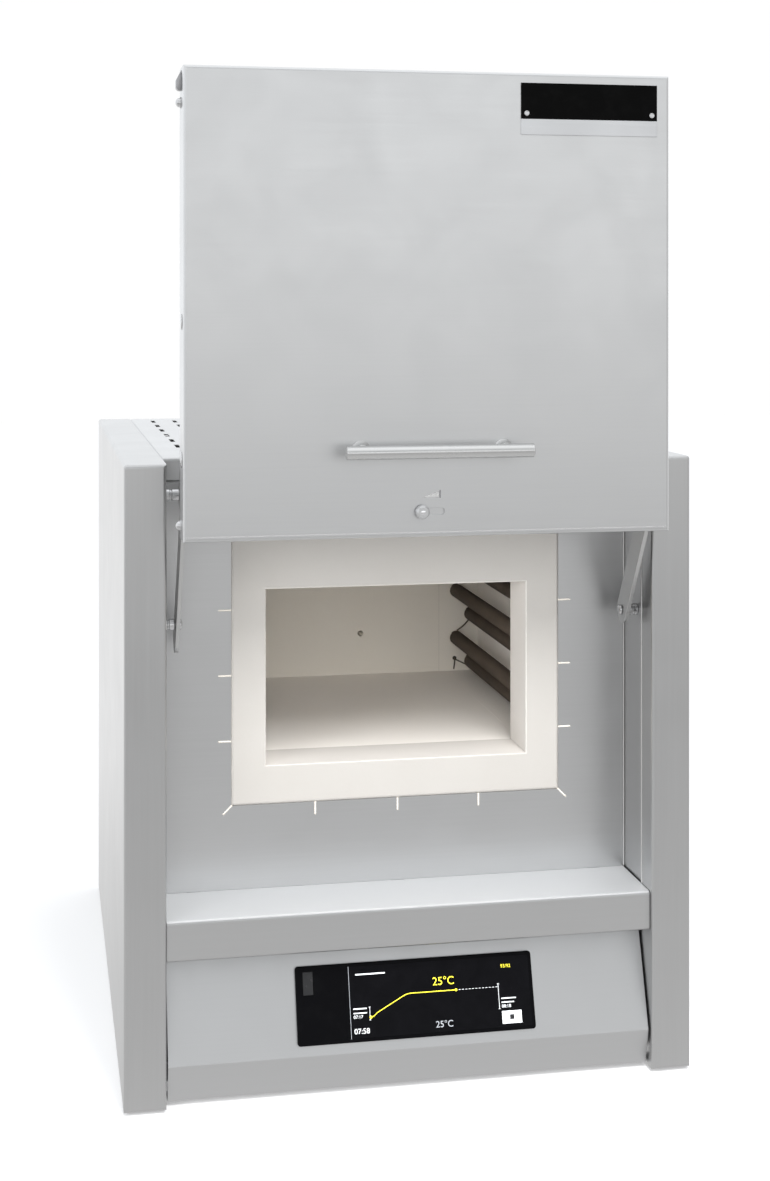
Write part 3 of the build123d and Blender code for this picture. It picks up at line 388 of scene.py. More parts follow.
markTones = {
    "printedMark": (0.12, 0.12, 0.125),
    "seamShade": (0.3, 0.3, 0.3),
    # Tone of the painted shade line along the door's lower bend.
    "paleMark": (0.245, 0.245, 0.242),
}
for name, tone in markTones.items():
    mouldKinds[name] = {"tone": tone, "dust": tone, "roughness": 0.5}
finishes.update(buildKinds(mouldedFinish, mouldValues, mouldKinds))


def windingFinish():
    # Oxidised heating wire: dark brown grey scale with rusty and bluish patches.
    material, tree = newMaterial("oxidisedWire")
    place = objectPlace(tree)
    patches = noise(tree, place, 55.0, 5.0)
    scaleNoise = noise(tree, place, 900.0, 3.0)
    base = blend(tree, patches, (0.044, 0.033, 0.025), (0.11, 0.085, 0.064))
    crust = remap(tree, scaleNoise, 0.55, 0.75, 0.0, 0.5)
    colour = blend(tree, crust, base, (0.2, 0.15, 0.11))
    rough = remap(tree, patches, first=0.5, last=0.75)
    bump = addNode(tree, "ShaderNodeBump", {"Height": scaleNoise, "Strength": 0.4, "Distance": 0.0002})[0]
    shade(tree, {"Base Color": colour, "Metallic": 0.2, "Roughness": rough, "Normal": bump})
    return material


def glassFinish():
    # The display's front glass, nearly black, with faint finger marks.
    material, tree = newMaterial("displayGlass")
    marks = noise(tree, objectPlace(tree), 38.0, 4.0, Distortion=2.0)
    rough = remap(tree, marks, 0.45, 0.8, 0.05, 0.16)
    deep = blend(tree, marks, (0.0015, 0.0015, 0.002), (0.004, 0.004, 0.005))
    shade(tree, {"Base Color": deep, "Roughness": rough, "Specular IOR Level": 0.06})
    return material


def litFinish(name, colour, strength):
    # A lit figure on the display, a little uneven as backlights are.
    material, tree = newMaterial(name)
    cells = noise(tree, objectPlace(tree), 700.0, 2.0)
    glow = blend(tree, cells, [tone * 0.88 for tone in colour], colour)
    inputs = {"Base Color": glow, "Roughness": 0.3, "Emission Color": glow, "Emission Strength": strength}
    shade(tree, inputs)
    return material


finishes["oxidisedWire"] = windingFinish()
finishes["displayGlass"] = glassFinish()
litTones = {
    "litYellow": ((0.85, 0.75, 0.04), 0.7),
    "litWhite": ((0.8, 0.82, 0.84), 0.6),
    "litGrey": ((0.35, 0.37, 0.4), 0.5),
}
for name, (colour, strength) in litTones.items():
    finishes[name] = litFinish(name, colour, strength)

finishOfSlot = {
    "casing_steel": "sheetAcross",
    "plain_steel": "plainSheet",
    "handle_steel": "drawnBar",
    "fixing_steel": "brightFixing",
    "fibre": "chamberFibre",
    "backup_fibre": "backupFibre",
    "fired_ceramic": "firedPlate",
    "heating_alloy": "oxidisedWire",
    "black_bezel": "bezelBlack",
    "screen_glass": "displayGlass",
    "black_plastic": "housingBlack",
    "flap_plastic": "flapBlack",
    "feet_rubber": "footRubber",
    "pin_brass": "pinBrass",
    "rocker_plastic": "rockerGreen",
    "sink_aluminium": "sinkAluminium",
    "plate_black": "plateBlack",
    "plate_silver": "plateSilver",
}
nodesOfFinish = {
    "sheetUp": ("right_cheek", "left_cheek", "right_inner_wall", "left_inner_wall"),
    "sheetBack": ("top_cover",),
    "shelfSheet": ("shelf",),
    "fasciaSheet": ("control_fascia",),
    "collarFibre": ("collar", "door_insulation"),
    "firedPlate": ("chamber_floor",),
    "doorSheet": ("door_shell", "air_slider"),
    "rearFibre": ("chamber_rear_wall",),
    "armStrip": ("lower_arms", "upper_arms"),
}
finishOfNode = {node: finish for finish, nodes in nodesOfFinish.items() for node in nodes}
for part in frame["record"]["subparts"]:
    solid = frame["nodes"][part["node"]]
    finish = finishOfNode.get(part["node"], finishOfSlot[part["material_slot"]])
    solid.data.materials.clear()
    solid.data.materials.append(finishes[finish])
print("finishes on every node")


# Camera at the photo's place
cameraValues = {"place": (-0.34255, -1.91051, 0.72478), "turn": -0.191, "lens": 55.2, "shift": -0.244}
camera = bpy.data.objects.new("camera", bpy.data.cameras.new("camera"))
scene.collection.objects.link(camera)
camera.location = cameraValues["place"]
camera.rotation_euler = (math.pi / 2, 0, cameraValues["turn"])
camera.data.lens = cameraValues["lens"]
camera.data.shift_y = cameraValues["shift"]
scene.camera = camera


# Studio
floorValues = {
    "reach": 9.0,
    "tone": (0.74, 0.74, 0.745),
    "lift": 0.2,
    "mirroredFrom": -3.0,
    "mirroredTo": 1.0,
    "mirrored": [(0.0, 0.42), (0.25, 0.44), (0.62, 0.58), (0.76, 0.68), (0.86, 0.78), (1.0, 0.96)],
    "mirroredStrength": 1.25,
}


def buildFloor():
    mesh = bpy.data.meshes.new("floor")
    far = floorValues["reach"]
    mesh.from_pydata([(-far, -far, 0), (far, -far, 0), (far, far, 0), (-far, far, 0)], [], [(0, 1, 2, 3)])
    floor = bpy.data.objects.new("floor", mesh)
    scene.collection.objects.link(floor)
    material, tree = newMaterial("studioFloor")
    matt = addNode(tree, "ShaderNodeBsdfDiffuse", {"Color": floorValues["tone"]})[0]
    rays = addNode(tree, "ShaderNodeLightPath")
    lift = calc(tree, "MULTIPLY", rays["Is Camera Ray"], floorValues["lift"])
    glow = addNode(tree, "ShaderNodeEmission", {"Color": (1, 1, 1), "Strength": lift})[0]
    both = addNode(tree, "ShaderNodeAddShader", {0: matt, 1: glow})[0]
    # The sheet metal mirrors a floor that is dim far in front and bright behind.
    depth = axisOf(tree, objectPlace(tree), "Y")
    share = remap(tree, depth, floorValues["mirroredFrom"], floorValues["mirroredTo"])
    dimTone = greyRamp(tree, share, floorValues["mirrored"])
    dim = addNode(tree, "ShaderNodeEmission", {"Color": dimTone, "Strength": floorValues["mirroredStrength"]})
    seen = {0: rays["Is Glossy Ray"], 1: both, 2: dim[0]}
    mixed = addNode(tree, "ShaderNodeMixShader", seen)[0]
    addNode(tree, "ShaderNodeOutputMaterial", {"Surface": mixed})
    mesh.materials.append(material)


# White to the camera; to everything else a studio that is bright above, behind and to the left.
roomValues = {
    "front": [
        (0.0, 0.42), (0.42, 0.5), (0.52, 1.0), (0.58, 1.0),
        (0.66, 0.47), (0.74, 0.47), (0.86, 0.9), (1.0, 1.0),
    ],
    "warm": (1.0, 0.985, 0.965),
    "cool": (0.98, 1.0, 1.015),
    "behind": (0.9, 0.92, 0.94),
    "left": (0.86, 0.88, 0.9),
    "right": (0.55, 0.55, 0.55),
    "seen": (0.75, 0.75, 0.75),
    "strength": 1.34,
}


def buildWorld():
    world = bpy.data.worlds.new("studio")
    scene.world = world
    tree = clearedTree(world)
    direction = addNode(tree, "ShaderNodeTexCoord")["Generated"]
    split = addNode(tree, "ShaderNodeSeparateXYZ", {"Vector": direction})
    room = greyRamp(tree, remap(tree, split["Z"], -1.0, 1.0), roomValues["front"])
    tint = blend(tree, remap(tree, split["Z"], -0.1, 0.1), roomValues["warm"], roomValues["cool"])
    inputs = {"Factor": 1.0, 6: room, 7: tint}
    room = addNode(tree, "ShaderNodeMix", inputs, data_type="RGBA", blend_type="MULTIPLY")[2]
    room = blend(tree, remap(tree, split["X"], 0.35, 0.9), room, roomValues["right"])
    room = blend(tree, remap(tree, split["X"], -0.35, -0.9), room, roomValues["left"])
    room = blend(tree, remap(tree, split["Y"], 0.0, 0.5), room, roomValues["behind"])
    rays = addNode(tree, "ShaderNodeLightPath")
    seen = blend(tree, rays["Is Camera Ray"], room, roomValues["seen"])
    light = addNode(tree, "ShaderNodeBackground", {"Color": seen, "Strength": roomValues["strength"]})
    addNode(tree, "ShaderNodeOutputWorld", {"Surface": light[0]})


# Each lamp's place, aim, size and power; none is mirrored in the sheet metal.
lampValues = {
    "mouthLamp": ((-0.1, -1.9, 0.85), (0, 0, 0.37), (0.9, 0.7), 9),
    "leftLamp": ((-1.3, -1.5, 0.75), (0.05, 0, 0.36), (0.7, 0.6), 13),
    "hearthLamp": ((0.15, -1.35, 1.45), (0, -0.05, 0.29), (0.6, 0.5), 25),
}


def buildLamp(name, place, aim, size, power):
    lamp = bpy.data.lights.new(name, "AREA")
    lamp.shape = "RECTANGLE"
    lamp.size, lamp.size_y = size
    lamp.energy = power
    item = bpy.data.objects.new(name, lamp)
    scene.collection.objects.link(item)
    item.location = place
    item.rotation_euler = (Vector(aim) - Vector(place)).to_track_quat("-Z", "Y").to_euler()
    item.visible_glossy = False


buildFloor()
buildWorld()
for name, values in lampValues.items():
    buildLamp(name, *values)
print("camera, floor and lights placed")


# Making pieces

def keepPiece(piece, body, replaced=()):
    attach(piece, body)
    if replaced:
        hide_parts(*replaced)


def newPiece(name, mesh):
    piece = bpy.data.objects.new(name, mesh)
    scene.collection.objects.link(piece)
    return piece


def keepMesh(mesh, name, finish, body, replaced=()):
    mesh.materials.clear()
    mesh.materials.append(finishes[finish])
    keepPiece(newPiece(name, mesh), body, replaced)


def smoothByAngle(mesh, degrees):
    for polygon in mesh.polygons:
        polygon.use_smooth = True
    mesh.set_sharp_from_angle(angle=math.radians(degrees))


def keepSketch(sketch, name, finish, body, replaced=(), degrees=35):
    bmesh.ops.recalc_face_normals(sketch, faces=sketch.faces)
    mesh = bpy.data.meshes.new(name)
    sketch.to_mesh(mesh)
    sketch.free()
    smoothByAngle(mesh, degrees)
    keepMesh(mesh, name, finish, body, replaced)


def evaluatedMesh(holder):
    graph = bpy.context.evaluated_depsgraph_get()
    return bpy.data.meshes.new_from_object(holder.evaluated_get(graph), depsgraph=graph)


def curveMesh(curve):
    holder = newPiece(curve.name, curve)
    mesh = evaluatedMesh(holder)
    bpy.data.objects.remove(holder)
    return mesh


def turnedInto(sketch, profile, start, direction, steps=40):
    # Adds a turned form: the profile is (distance along the axis, radius) in millimetres.
    along = Vector(direction).normalized()
    side = along.orthogonal().normalized()
    other = along.cross(side)
    turns = [2 * math.pi * step / steps for step in range(steps)]
    rings = []
    for distance, radius in profile:
        centre = Vector(start) + along * distance * 0.001
        if radius == 0:
            rings.append([sketch.verts.new(centre)])
            continue
        spokes = [side * math.cos(turn) + other * math.sin(turn) for turn in turns]
        rings.append([sketch.verts.new(centre + spoke * radius * 0.001) for spoke in spokes])
    for lower, upper in zip(rings, rings[1:]):
        for step in range(steps):
            after = (step + 1) % steps
            if len(lower) == 1:
                sketch.faces.new((lower[0], upper[step], upper[after]))
            elif len(upper) == 1:
                sketch.faces.new((lower[step], upper[0], lower[after]))
            else:
                sketch.faces.new((lower[step], upper[step], upper[after], lower[after]))


def rodInto(sketch, radius, run, start, direction, steps=32):
    turnedInto(sketch, [(0, 0), (0, radius), (run, radius), (run, 0)], start, direction, steps)


def boxInto(sketch, low, high, corner=0.0, segments=2):
    made = bmesh.ops.create_cube(sketch, size=1.0)
    middle = [(a + b) / 2 for a, b in zip(low, high)]
    spans = [b - a for a, b in zip(low, high)]
    place = Matrix.Translation(middle) @ Matrix.Diagonal((*spans, 1))
    bmesh.ops.transform(sketch, matrix=place, verts=made["verts"])
    if corner:
        edges = {edge for vert in made["verts"] for edge in vert.link_edges}
        bmesh.ops.bevel(
            sketch, geom=list(edges), offset=corner, segments=segments, profile=0.5, affect="EDGES"
        )


def extrudedInto(sketch, outline, reach):
    # A closed prism of an outline, along a reach in metres.
    lower = [sketch.verts.new(point) for point in outline]
    upper = [sketch.verts.new(point + Vector(reach)) for point in outline]
    sketch.faces.new(lower[::-1])
    sketch.faces.new(upper)
    for first in range(len(outline)):
        after = (first + 1) % len(outline)
        sketch.faces.new((lower[first], lower[after], upper[after], upper[first]))


def placeOnPoints(tree, given, out, form):
    # The form on each point, made real and given its finish.
    placed = addNode(tree, "GeometryNodeInstanceOnPoints", {"Points": given["Geometry"], "Instance": form})
    real = addNode(tree, "GeometryNodeRealizeInstances", {"Geometry": placed[0]})
    smooth = addNode(tree, "GeometryNodeSetShadeSmooth", {"Geometry": real[0]})
    inputs = {"Geometry": smooth[0], "Material": given["Finish"]}
    setInputs(tree, out, {"Geometry": addNode(tree, "GeometryNodeSetMaterial", inputs)[0]})


def nodesPiece(name, points, tree, values, body, slotName, replaced=()):
    # Runs a geometry node tree on a set of points and keeps the result as a plain mesh.
    mesh = bpy.data.meshes.new(name + "Points")
    mesh.from_pydata([tuple(point) for point in points], [], [])
    piece = newPiece(name, mesh)
    modifier = piece.modifiers.new("shape", "NODES")
    modifier.node_group = tree
    for item in tree.interface.items_tree:
        if item.item_type == "SOCKET" and item.in_out == "INPUT" and item.name in values:
            modifier[item.identifier] = values[item.name]
    bpy.context.view_layer.update()
    result = evaluatedMesh(piece)
    piece.modifiers.remove(modifier)
    piece.data = result
    keepPiece(piece, body, replaced)
    return piece


# Heating elements
elementValues = {
    "insets": (0.0294, 0.012),
    "chamberHalf": 0.178,
    "firstRise": 0.2990,
    "pitch": 0.056,
    "rows": 3,
    "tubeRadius": 0.0045,
    "tubeBore": 2.5,
    "coilRadius": 0.0081,
    "wireRadius": 0.0012,
    "wirePitch": 0.0027,
}


def buildWindingTree():
    labels = ("Length", "Coil radius", "Wire radius", "Wire pitch")
    inputs = {"Geometry": "Geometry", **{label: "Float" for label in labels}, "Finish": "Material"}
    tree, given, out = startGroup("woundElements", inputs, {"Geometry": "Geometry"}, "GeometryNodeTree")
    turns = calc(tree, "DIVIDE", given["Length"], given["Wire pitch"])
    radius = calc(tree, "SUBTRACT", given["Coil radius"], given["Wire radius"])
    shape = {"Resolution": 14, "Rotations": turns, "Start Radius": radius, "End Radius": radius}
    spiral = addNode(tree, "GeometryNodeCurveSpiral", {**shape, "Height": given["Length"]})[0]
    ring = {"Resolution": 6, "Radius": given["Wire radius"]}
    wire = addNode(tree, "GeometryNodeCurvePrimitiveCircle", ring)["Curve"]
    swept = {"Curve": spiral, "Profile Curve": wire, "Fill Caps": True}
    wound = addNode(tree, "GeometryNodeCurveToMesh", swept)[0]
    laid = addNode(tree, "GeometryNodeTransform", {"Geometry": wound, "Rotation": (-math.pi / 2, 0, 0)})
    placeOnPoints(tree, given, out, laid[0])
    return tree


def elementPlaces(side):
    first, pitch = elementValues["firstRise"], elementValues["pitch"]
    rises = [first + pitch * row for row in range(elementValues["rows"])]
    front, back = (side * (elementValues["chamberHalf"] - inset) for inset in elementValues["insets"])
    places = [(back, rise) for rise in rises]
    return places + [(front, rise + pitch / 2) for rise in rises]


def buildElements():
    windingTree = buildWindingTree()
    wire = elementValues["wireRadius"]
    radius, bore = elementValues["tubeRadius"] * 1000, elementValues["tubeBore"]
    for side, label in ((1, "right"), (-1, "left")):
        low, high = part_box(label + "_heating_coils")
        starts = [(x, low[1] + wire, z) for x, z in elementPlaces(side)]
        values = {
            "Length": high[1] - low[1] - 2 * wire,
            "Coil radius": elementValues["coilRadius"],
            "Wire radius": wire,
            "Wire pitch": elementValues["wirePitch"],
            "Finish": finishes["oxidisedWire"],
        }
        coils = [label + "_heating_coils"]
        nodesPiece(label + "Windings", starts, windingTree, values, "furnace", "heating_alloy", coils)
        low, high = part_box(label + "_support_tubes")
        run = (high[1] - low[1]) * 1000
        profile = [(0, bore), (0, radius - 0.4), (0.4, radius), (run - 0.4, radius), (run, radius - 0.4)]
        profile += [(run, bore), (0, bore)]
        sketch = bmesh.new()
        for x, z in elementPlaces(side):
            turnedInto(sketch, profile, (x, low[1], z), (0, 1, 0), 28)
        bmesh.ops.remove_doubles(sketch, verts=sketch.verts, dist=0.00001)
        tubes = [label + "_support_tubes"]
        keepSketch(sketch, label + "Tubes", "tubeCeramic", "furnace", tubes)


buildElements()
print("heating elements wound")


# Places in millimetres from the casing's front lower edge and from the door's
casingDepth = 645.0
casingStart = Vector((0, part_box("rear_panel")[1][1] - casingDepth * 0.001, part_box("right_cheek")[0][2]))
doorLow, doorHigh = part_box("door_shell")
doorStart = Vector((0, doorLow[1], doorLow[2]))
doorHalf = -doorLow[0] * 1000
doorHeight = (doorHigh[2] - doorLow[2]) * 1000


def onCasing(x, y, z):
    return casingStart + Vector((x, y, z)) * 0.001


def onDoor(x, y, z):
    return doorStart + Vector((x, y, z)) * 0.001


def jointPlace(name):
    joints = frame["record"]["behaviour"]["joints"]
    return Vector(next(joint["pos_m"] for joint in joints if joint["name"] == name))


# Front panel with its expansion slits
panelValues = {
    "setback": 84.0,
    "sheet": 1.2,
    "fold": 1.6,
    "half": 227.8,
    "low": 166.6,
    "high": 554.8,
    "flange": 20.0,
    "returnFront": 70.6,
    "openHalf": 160.3,
    "openLow": 245.7,
    "openHigh": 506.3,
    "slitLength": 12.2,
    "slitWidth": 1.8,
    "sunk": 0.15,
    "slitCentre": 368.8,
    "slitPitchSide": 62.0,
    "slitPitchBelow": 80.0,
    "tabPitch": 196.0,
    "tabWidth": 12.0,
    "tabDepth": 3.6,
}


def panelSlits():
    # Four corners of each slit, in order round the opening from its lower left corner.
    width, reach = panelValues["slitWidth"], panelValues["slitLength"]
    half, low, high = (panelValues[label] for label in ("openHalf", "openLow", "openHigh"))
    rows = [panelValues["slitCentre"] + panelValues["slitPitchSide"] * number for number in (-1, 0, 1)]
    below = [panelValues["slitPitchBelow"] * number for number in (-1, 0, 1)]
    sides = [
        (Vector((1, 0)), [(x, low) for x in below], Vector((half, low))),
        (Vector((0, 1)), [(half, z) for z in rows], Vector((half, high))),
        (Vector((-1, 0)), [], Vector((-half, high))),
        (Vector((0, -1)), [(-half, z) for z in reversed(rows)], Vector((-half, low))),
    ]
    slits = []
    for number, (along, places, corner) in enumerate(sides):
        outward = Vector((along.y, -along.x)) * reach
        for place in places:
            near, far = Vector(place) - along * width / 2, Vector(place) + along * width / 2
            slits.append([near, near + outward, far + outward, far])
        turned = sides[(number + 1) % 4][0]
        outward = (along - turned).normalized() * reach
        near, far = corner - along * width * 0.707, corner + turned * width * 0.707
        slits.append([near, near + outward, far + outward, far])
    return slits


def buildPanel():
    values = panelValues
    low, high, sheet, fold = (values[label] for label in ("low", "high", "sheet", "fold"))
    front, back = values["setback"], values["setback"] + sheet
    flat = values["half"] - fold
    rim = [(-flat, low), (flat, low), (flat, high), (-flat, high)]
    sketch = bmesh.new()
    sheets = []
    for depth in (front, back):
        loops, edges = [], []
        for outline in (rim, sum(panelSlits(), [])):
            loop = [sketch.verts.new(onCasing(x, depth, z)) for x, z in outline]
            edges += [sketch.edges.new((loop[n], loop[(n + 1) % len(loop)])) for n in range(len(loop))]
            loops.append(loop)
        bmesh.ops.triangle_fill(sketch, use_beauty=True, edges=edges)
        sheets.append(loops)
    for near, far in zip(*sheets):
        for first in range(len(near)):
            after = (first + 1) % len(near)
            sketch.faces.new((near[first], near[after], far[after], far[first]))
    turns = [math.pi / 2 * step / 6 for step in range(7)]
    for side in (-1, 1):
        outer = [(flat + fold * math.sin(t), front + fold * (1 - math.cos(t))) for t in turns]
        inner = fold - sheet
        inside = [(flat + inner * math.sin(t), back + inner * (1 - math.cos(t))) for t in reversed(turns)]
        end = front + values["flange"]
        corners = outer + [(values["half"], end), (values["half"] - sheet, end)] + inside
        outline = [onCasing(side * x, y, low) for x, y in corners]
        extrudedInto(sketch, outline, (0, 0, (high - low) * 0.001))
    overlap = 0.2
    returned = onCasing(-flat, values["returnFront"], high - sheet), onCasing(flat, front + overlap, high)
    boxInto(sketch, *returned, 0.0002)
    for number in (-1, 0, 1):
        left = number * values["tabPitch"] - values["tabWidth"] / 2
        tabLow = onCasing(left, front, low - values["tabDepth"])
        tabHigh = onCasing(left + values["tabWidth"], back, low + overlap)
        boxInto(sketch, tabLow, tabHigh, 0.0001)
    keepSketch(sketch, "slitPanel", "sheetAcross", "furnace", ["front_panel"], 30)

    filling = bmesh.new()
    sunk = values["sunk"]
    for corners in panelSlits():
        outline = [onCasing(x, front + sunk, z) for x, z in corners]
        extrudedInto(filling, outline, (0, (sheet - sunk) * 0.001, 0))
    keepSketch(filling, "slitFilling", "slitFibre", "furnace")


# Painted highlights: thin beads, lighter than the sheet, along the posts' inner lips and the panel's folds
beadValues = {"places": ((226.95, 29.4), (227.3, 83.7)), "low": 167.0, "high": 555.0, "radius": 0.65}


def buildEdgeBeads():
    low, run = beadValues["low"], beadValues["high"] - beadValues["low"]
    # Each bead paints a bright highlight line along an edge.
    sketch = bmesh.new()
    for side in (-1, 1):
        for x, y in beadValues["places"]:
            rodInto(sketch, beadValues["radius"], run, onCasing(side * x, y, low), (0, 0, 1), 12)
    keepSketch(sketch, "highlightBeads", "paintedHighlight", "furnace", degrees=40)


buildPanel()
buildEdgeBeads()
print("front panel cut")


# Leads and the bushing of the supply wire in the rear wall; the bushes are near black, a painted shade of the
# holes
leadValues = {
    "radius": 0.00085,
    "standOff": 0.004,
    "tuck": 0.003,
    "holeX": 0.149,
    "holeZ": 0.3005,
    "coil": 0.0078,
}
bushProfile = [(0, 0), (0, 2.4), (0.25, 2.3), (0.35, 1.9), (0.3, 1.3), (0.05, 1.1), (0.05, 0)]


def wireMesh(name, routes, radius):
    # Round wires through the points of each route, with eased bends.
    curve = bpy.data.curves.new(name, "CURVE")
    curve.dimensions = "3D"
    curve.bevel_depth = radius
    curve.bevel_resolution = 3
    curve.use_fill_caps = True
    curve.resolution_u = 8
    for route in routes:
        spline = curve.splines.new("BEZIER")
        spline.bezier_points.add(len(route) - 1)
        for knot, point in zip(spline.bezier_points, route):
            knot.co = point
            knot.handle_left_type = knot.handle_right_type = "AUTO"
    mesh = curveMesh(curve)
    smoothByAngle(mesh, 60)
    return mesh


def buildLeads():
    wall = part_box("chamber_rear_wall")[0][1]
    y = wall - leadValues["standOff"]
    tucked = y - leadValues["tuck"]
    rows = elementValues["rows"]
    coil, holeZ = leadValues["coil"], leadValues["holeZ"]
    routes = []
    sketch = bmesh.new()
    for side in (-1, 1):
        places = elementPlaces(side)
        back, front = places[:rows], places[rows:]
        for (backX, backZ), (frontX, frontZ) in zip(back[1:], front):
            start = Vector((backX - side * 0.001, tucked, backZ - coil))
            end = Vector((frontX + side * 0.002, tucked, frontZ + coil))
            middle = (start + end) / 2 + Vector((side * 0.0012, 0.002, -0.0011))
            routes.append([start, middle, end])
        (lowX, lowZ), holeX = back[0], side * leadValues["holeX"]
        hole = Vector((holeX, wall + 0.002, holeZ))
        out = Vector((holeX, wall - 0.0015, holeZ - 0.0006))
        bend = Vector((holeX + side * 0.0065, y, lowZ - 0.0025))
        routes.append([hole, out, bend, Vector((lowX - side * 0.0035, tucked, lowZ - 0.0055))])
        tail = Vector((holeX - side * 0.0004, wall - 0.0022, holeZ - 0.005))
        routes.append([hole, out, tail, Vector((holeX - side * 0.0016, wall - 0.003, holeZ - 0.0125))])
        # Each bush is a near-black disc, a painted shade of its hole.
        turnedInto(sketch, bushProfile, (holeX, wall, holeZ), (0, -1, 0), 32)
    leads = wireMesh("heaterLeads", routes, leadValues["radius"])
    keepMesh(leads, "heaterLeads", "oxidisedWire", "furnace", ["coil_leads"])
    keepSketch(sketch, "leadBushes", "holeShadeCeramic", "furnace")


probeValues = {"shorter": 0.014, "tip": [(0, 0), (0.3, 0.9), (0.9, 1.3), (1.8, 1.5)]}


def buildProbe():
    low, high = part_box("thermocouple")
    start = ((low[0] + high[0]) / 2, low[1] + probeValues["shorter"], (low[2] + high[2]) / 2)
    run = (high[1] - start[1]) * 1000
    sketch = bmesh.new()
    turnedInto(sketch, probeValues["tip"] + [(run, 1.5), (run, 0)], start, (0, 1, 0), 32)
    keepSketch(sketch, "ceramicProbe", "probeCeramic", "furnace", ["thermocouple"])


hearthJoint = 0.00095


def buildHearth():
    # The loose floor plate, close fitting in its recess.
    low, high = (Vector(corner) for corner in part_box("floor_plate"))
    joint = Vector((1, 1, 0)) * hearthJoint
    sketch = bmesh.new()
    boxInto(sketch, low - joint, high + joint, 0.0001, 1)
    keepSketch(sketch, "hearthPlate", "firedPlate", "furnace", ["floor_plate"])


buildLeads()
buildProbe()
buildHearth()
print("leads bent")


# Turned hardware of the lift linkage, in millimetres
pivotValues = {
    "armSheet": 3.5,
    "doorSheet": 1.5,
    "play": 0.4,
    "rod": 3.0,
    "boltHead": (3.0, 4.9),
    "innerHead": (1.5, 4.8),
    "outerHead": (1.6, 7.0),
    "spacer": 5.5,
    "doorSpacer": 4.4,
    "wall": 228.2,
    "end": 232.7,
    "nutHeights": (12.0, doorHeight - 30.3),
    "nutDepth": 25.0,
    "nut": [(0, 0), (0, 4.9), (1.2, 4.9), (1.4, 4.3), (2.8, 4.0), (4.0, 3.0), (4.8, 1.6), (5.0, 0)],
    "nutPin": (2.0, 4.5),
}


def domedHead(depth, radius):
    # From the seat outwards: a low collar and a domed top.
    steps = [math.pi / 2 * step / 6 for step in range(6)]
    dome = [(depth * 0.35 + depth * 0.65 * math.sin(t), radius * math.cos(t)) for t in steps]
    return [(0, 0), (0, radius * 0.96)] + dome + [(depth, 0)]


def sleeveProfile(width):
    # A spacer with a narrow waist between its two halves.
    wide, hole = pivotValues["spacer"], pivotValues["rod"] + 0.05
    waist = wide - 0.7
    profile = [(0, hole), (0, wide - 0.5), (0.5, wide), (width * 0.42, wide), (width * 0.46, waist)]
    profile += [(width * 0.54, waist), (width * 0.58, wide), (width - 0.5, wide), (width, wide - 0.5)]
    return profile + [(width, hole), (0, hole)]


def buildPivots():
    lift, upperLift, eye = jointPlace("lift"), jointPlace("upper_lift"), jointPlace("door_level")
    upperEye = eye + upperLift - lift
    sheet, play, rod = (pivotValues[label] for label in ("armSheet", "play", "rod"))
    lowerArm, upperArm = (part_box(node)[1][0] * 1000 - sheet for node in ("lower_arms", "upper_arms"))
    between = doorHalf - pivotValues["doorSheet"] - (upperArm + sheet + play)
    bolts, sleeves, rivets = bmesh.new(), bmesh.new(), bmesh.new()
    for side in (-1, 1):
        outward = (side, 0, 0)
        inward = (-side, 0, 0)

        def beside(x, centre):
            return Vector((side * x * 0.001, centre.y, centre.z))

        for arm, centre, doorEye in ((lowerArm, lift, eye), (upperArm, upperLift, upperEye)):
            start = arm - play
            reach = pivotValues["end"] - start
            bolt = [(0, 0), (0, rod), (reach - 0.6, rod), (reach, rod - 0.6), (reach, 0)]
            turnedInto(bolts, bolt, beside(start, centre), outward, 32)
            turnedInto(bolts, domedHead(*pivotValues["boltHead"]), beside(start, centre), inward, 32)
            first = arm + sheet + play
            turnedInto(sleeves, sleeveProfile(pivotValues["wall"] - first), beside(first, centre), outward)
            rodInto(rivets, rod, doorHalf - start, beside(start, doorEye), outward)
            turnedInto(rivets, domedHead(*pivotValues["innerHead"]), beside(start, doorEye), inward, 32)
            turnedInto(rivets, domedHead(*pivotValues["outerHead"]), beside(doorHalf, doorEye), outward)
        place = beside(doorHalf - pivotValues["doorSheet"] - between, upperEye)
        rodInto(rivets, pivotValues["doorSpacer"], between, place, outward)
    for z in pivotValues["nutHeights"]:
        place = onDoor(-doorHalf, pivotValues["nutDepth"], z)
        turnedInto(rivets, pivotValues["nut"], place, (-1, 0, 0), 32)
        rodInto(rivets, *pivotValues["nutPin"], place, (1, 0, 0), 24)
    for sketch in (bolts, sleeves, rivets):
        bmesh.ops.remove_doubles(sketch, verts=sketch.verts, dist=0.000001)
    keepSketch(bolts, "pivotBolts", "brightFixing", "furnace", ["casing_pivot_bolts"])
    keepSketch(sleeves, "pivotSleeves", "brightFixing", "furnace", ["casing_pivot_spacers"])
    keepSketch(rivets, "doorRivets", "brightFixing", "door", ["door_fittings"])


# Trim of the door: buffer on the flange's upper corner, knob, printed marks, a painted shade line along the
# lower bend, and ring screws
bufferValues = {
    "reach": 4.6,
    "top": doorHeight - 2.0,
    "slope": 9.0,
    "tall": 18.0,
    "front": 20.5,
    "depth": 9.0,
}
knobValues = {"x": -10.0, "z": 22.5, "radius": 6.2, "rim": 3.4, "dome": 4.9}
flareValues = {
    "places": (-64.0, 64.0),
    "z": 77.5,
    "profile": [(0, 0), (0, 8.0), (0.5, 8.1), (2.4, 6.4), (5.5, 5.3), (10.0, 5.05), (10.0, 0)],
}
bendShadeValues = {"inset": 3.0, "low": 4.2, "high": 4.65}


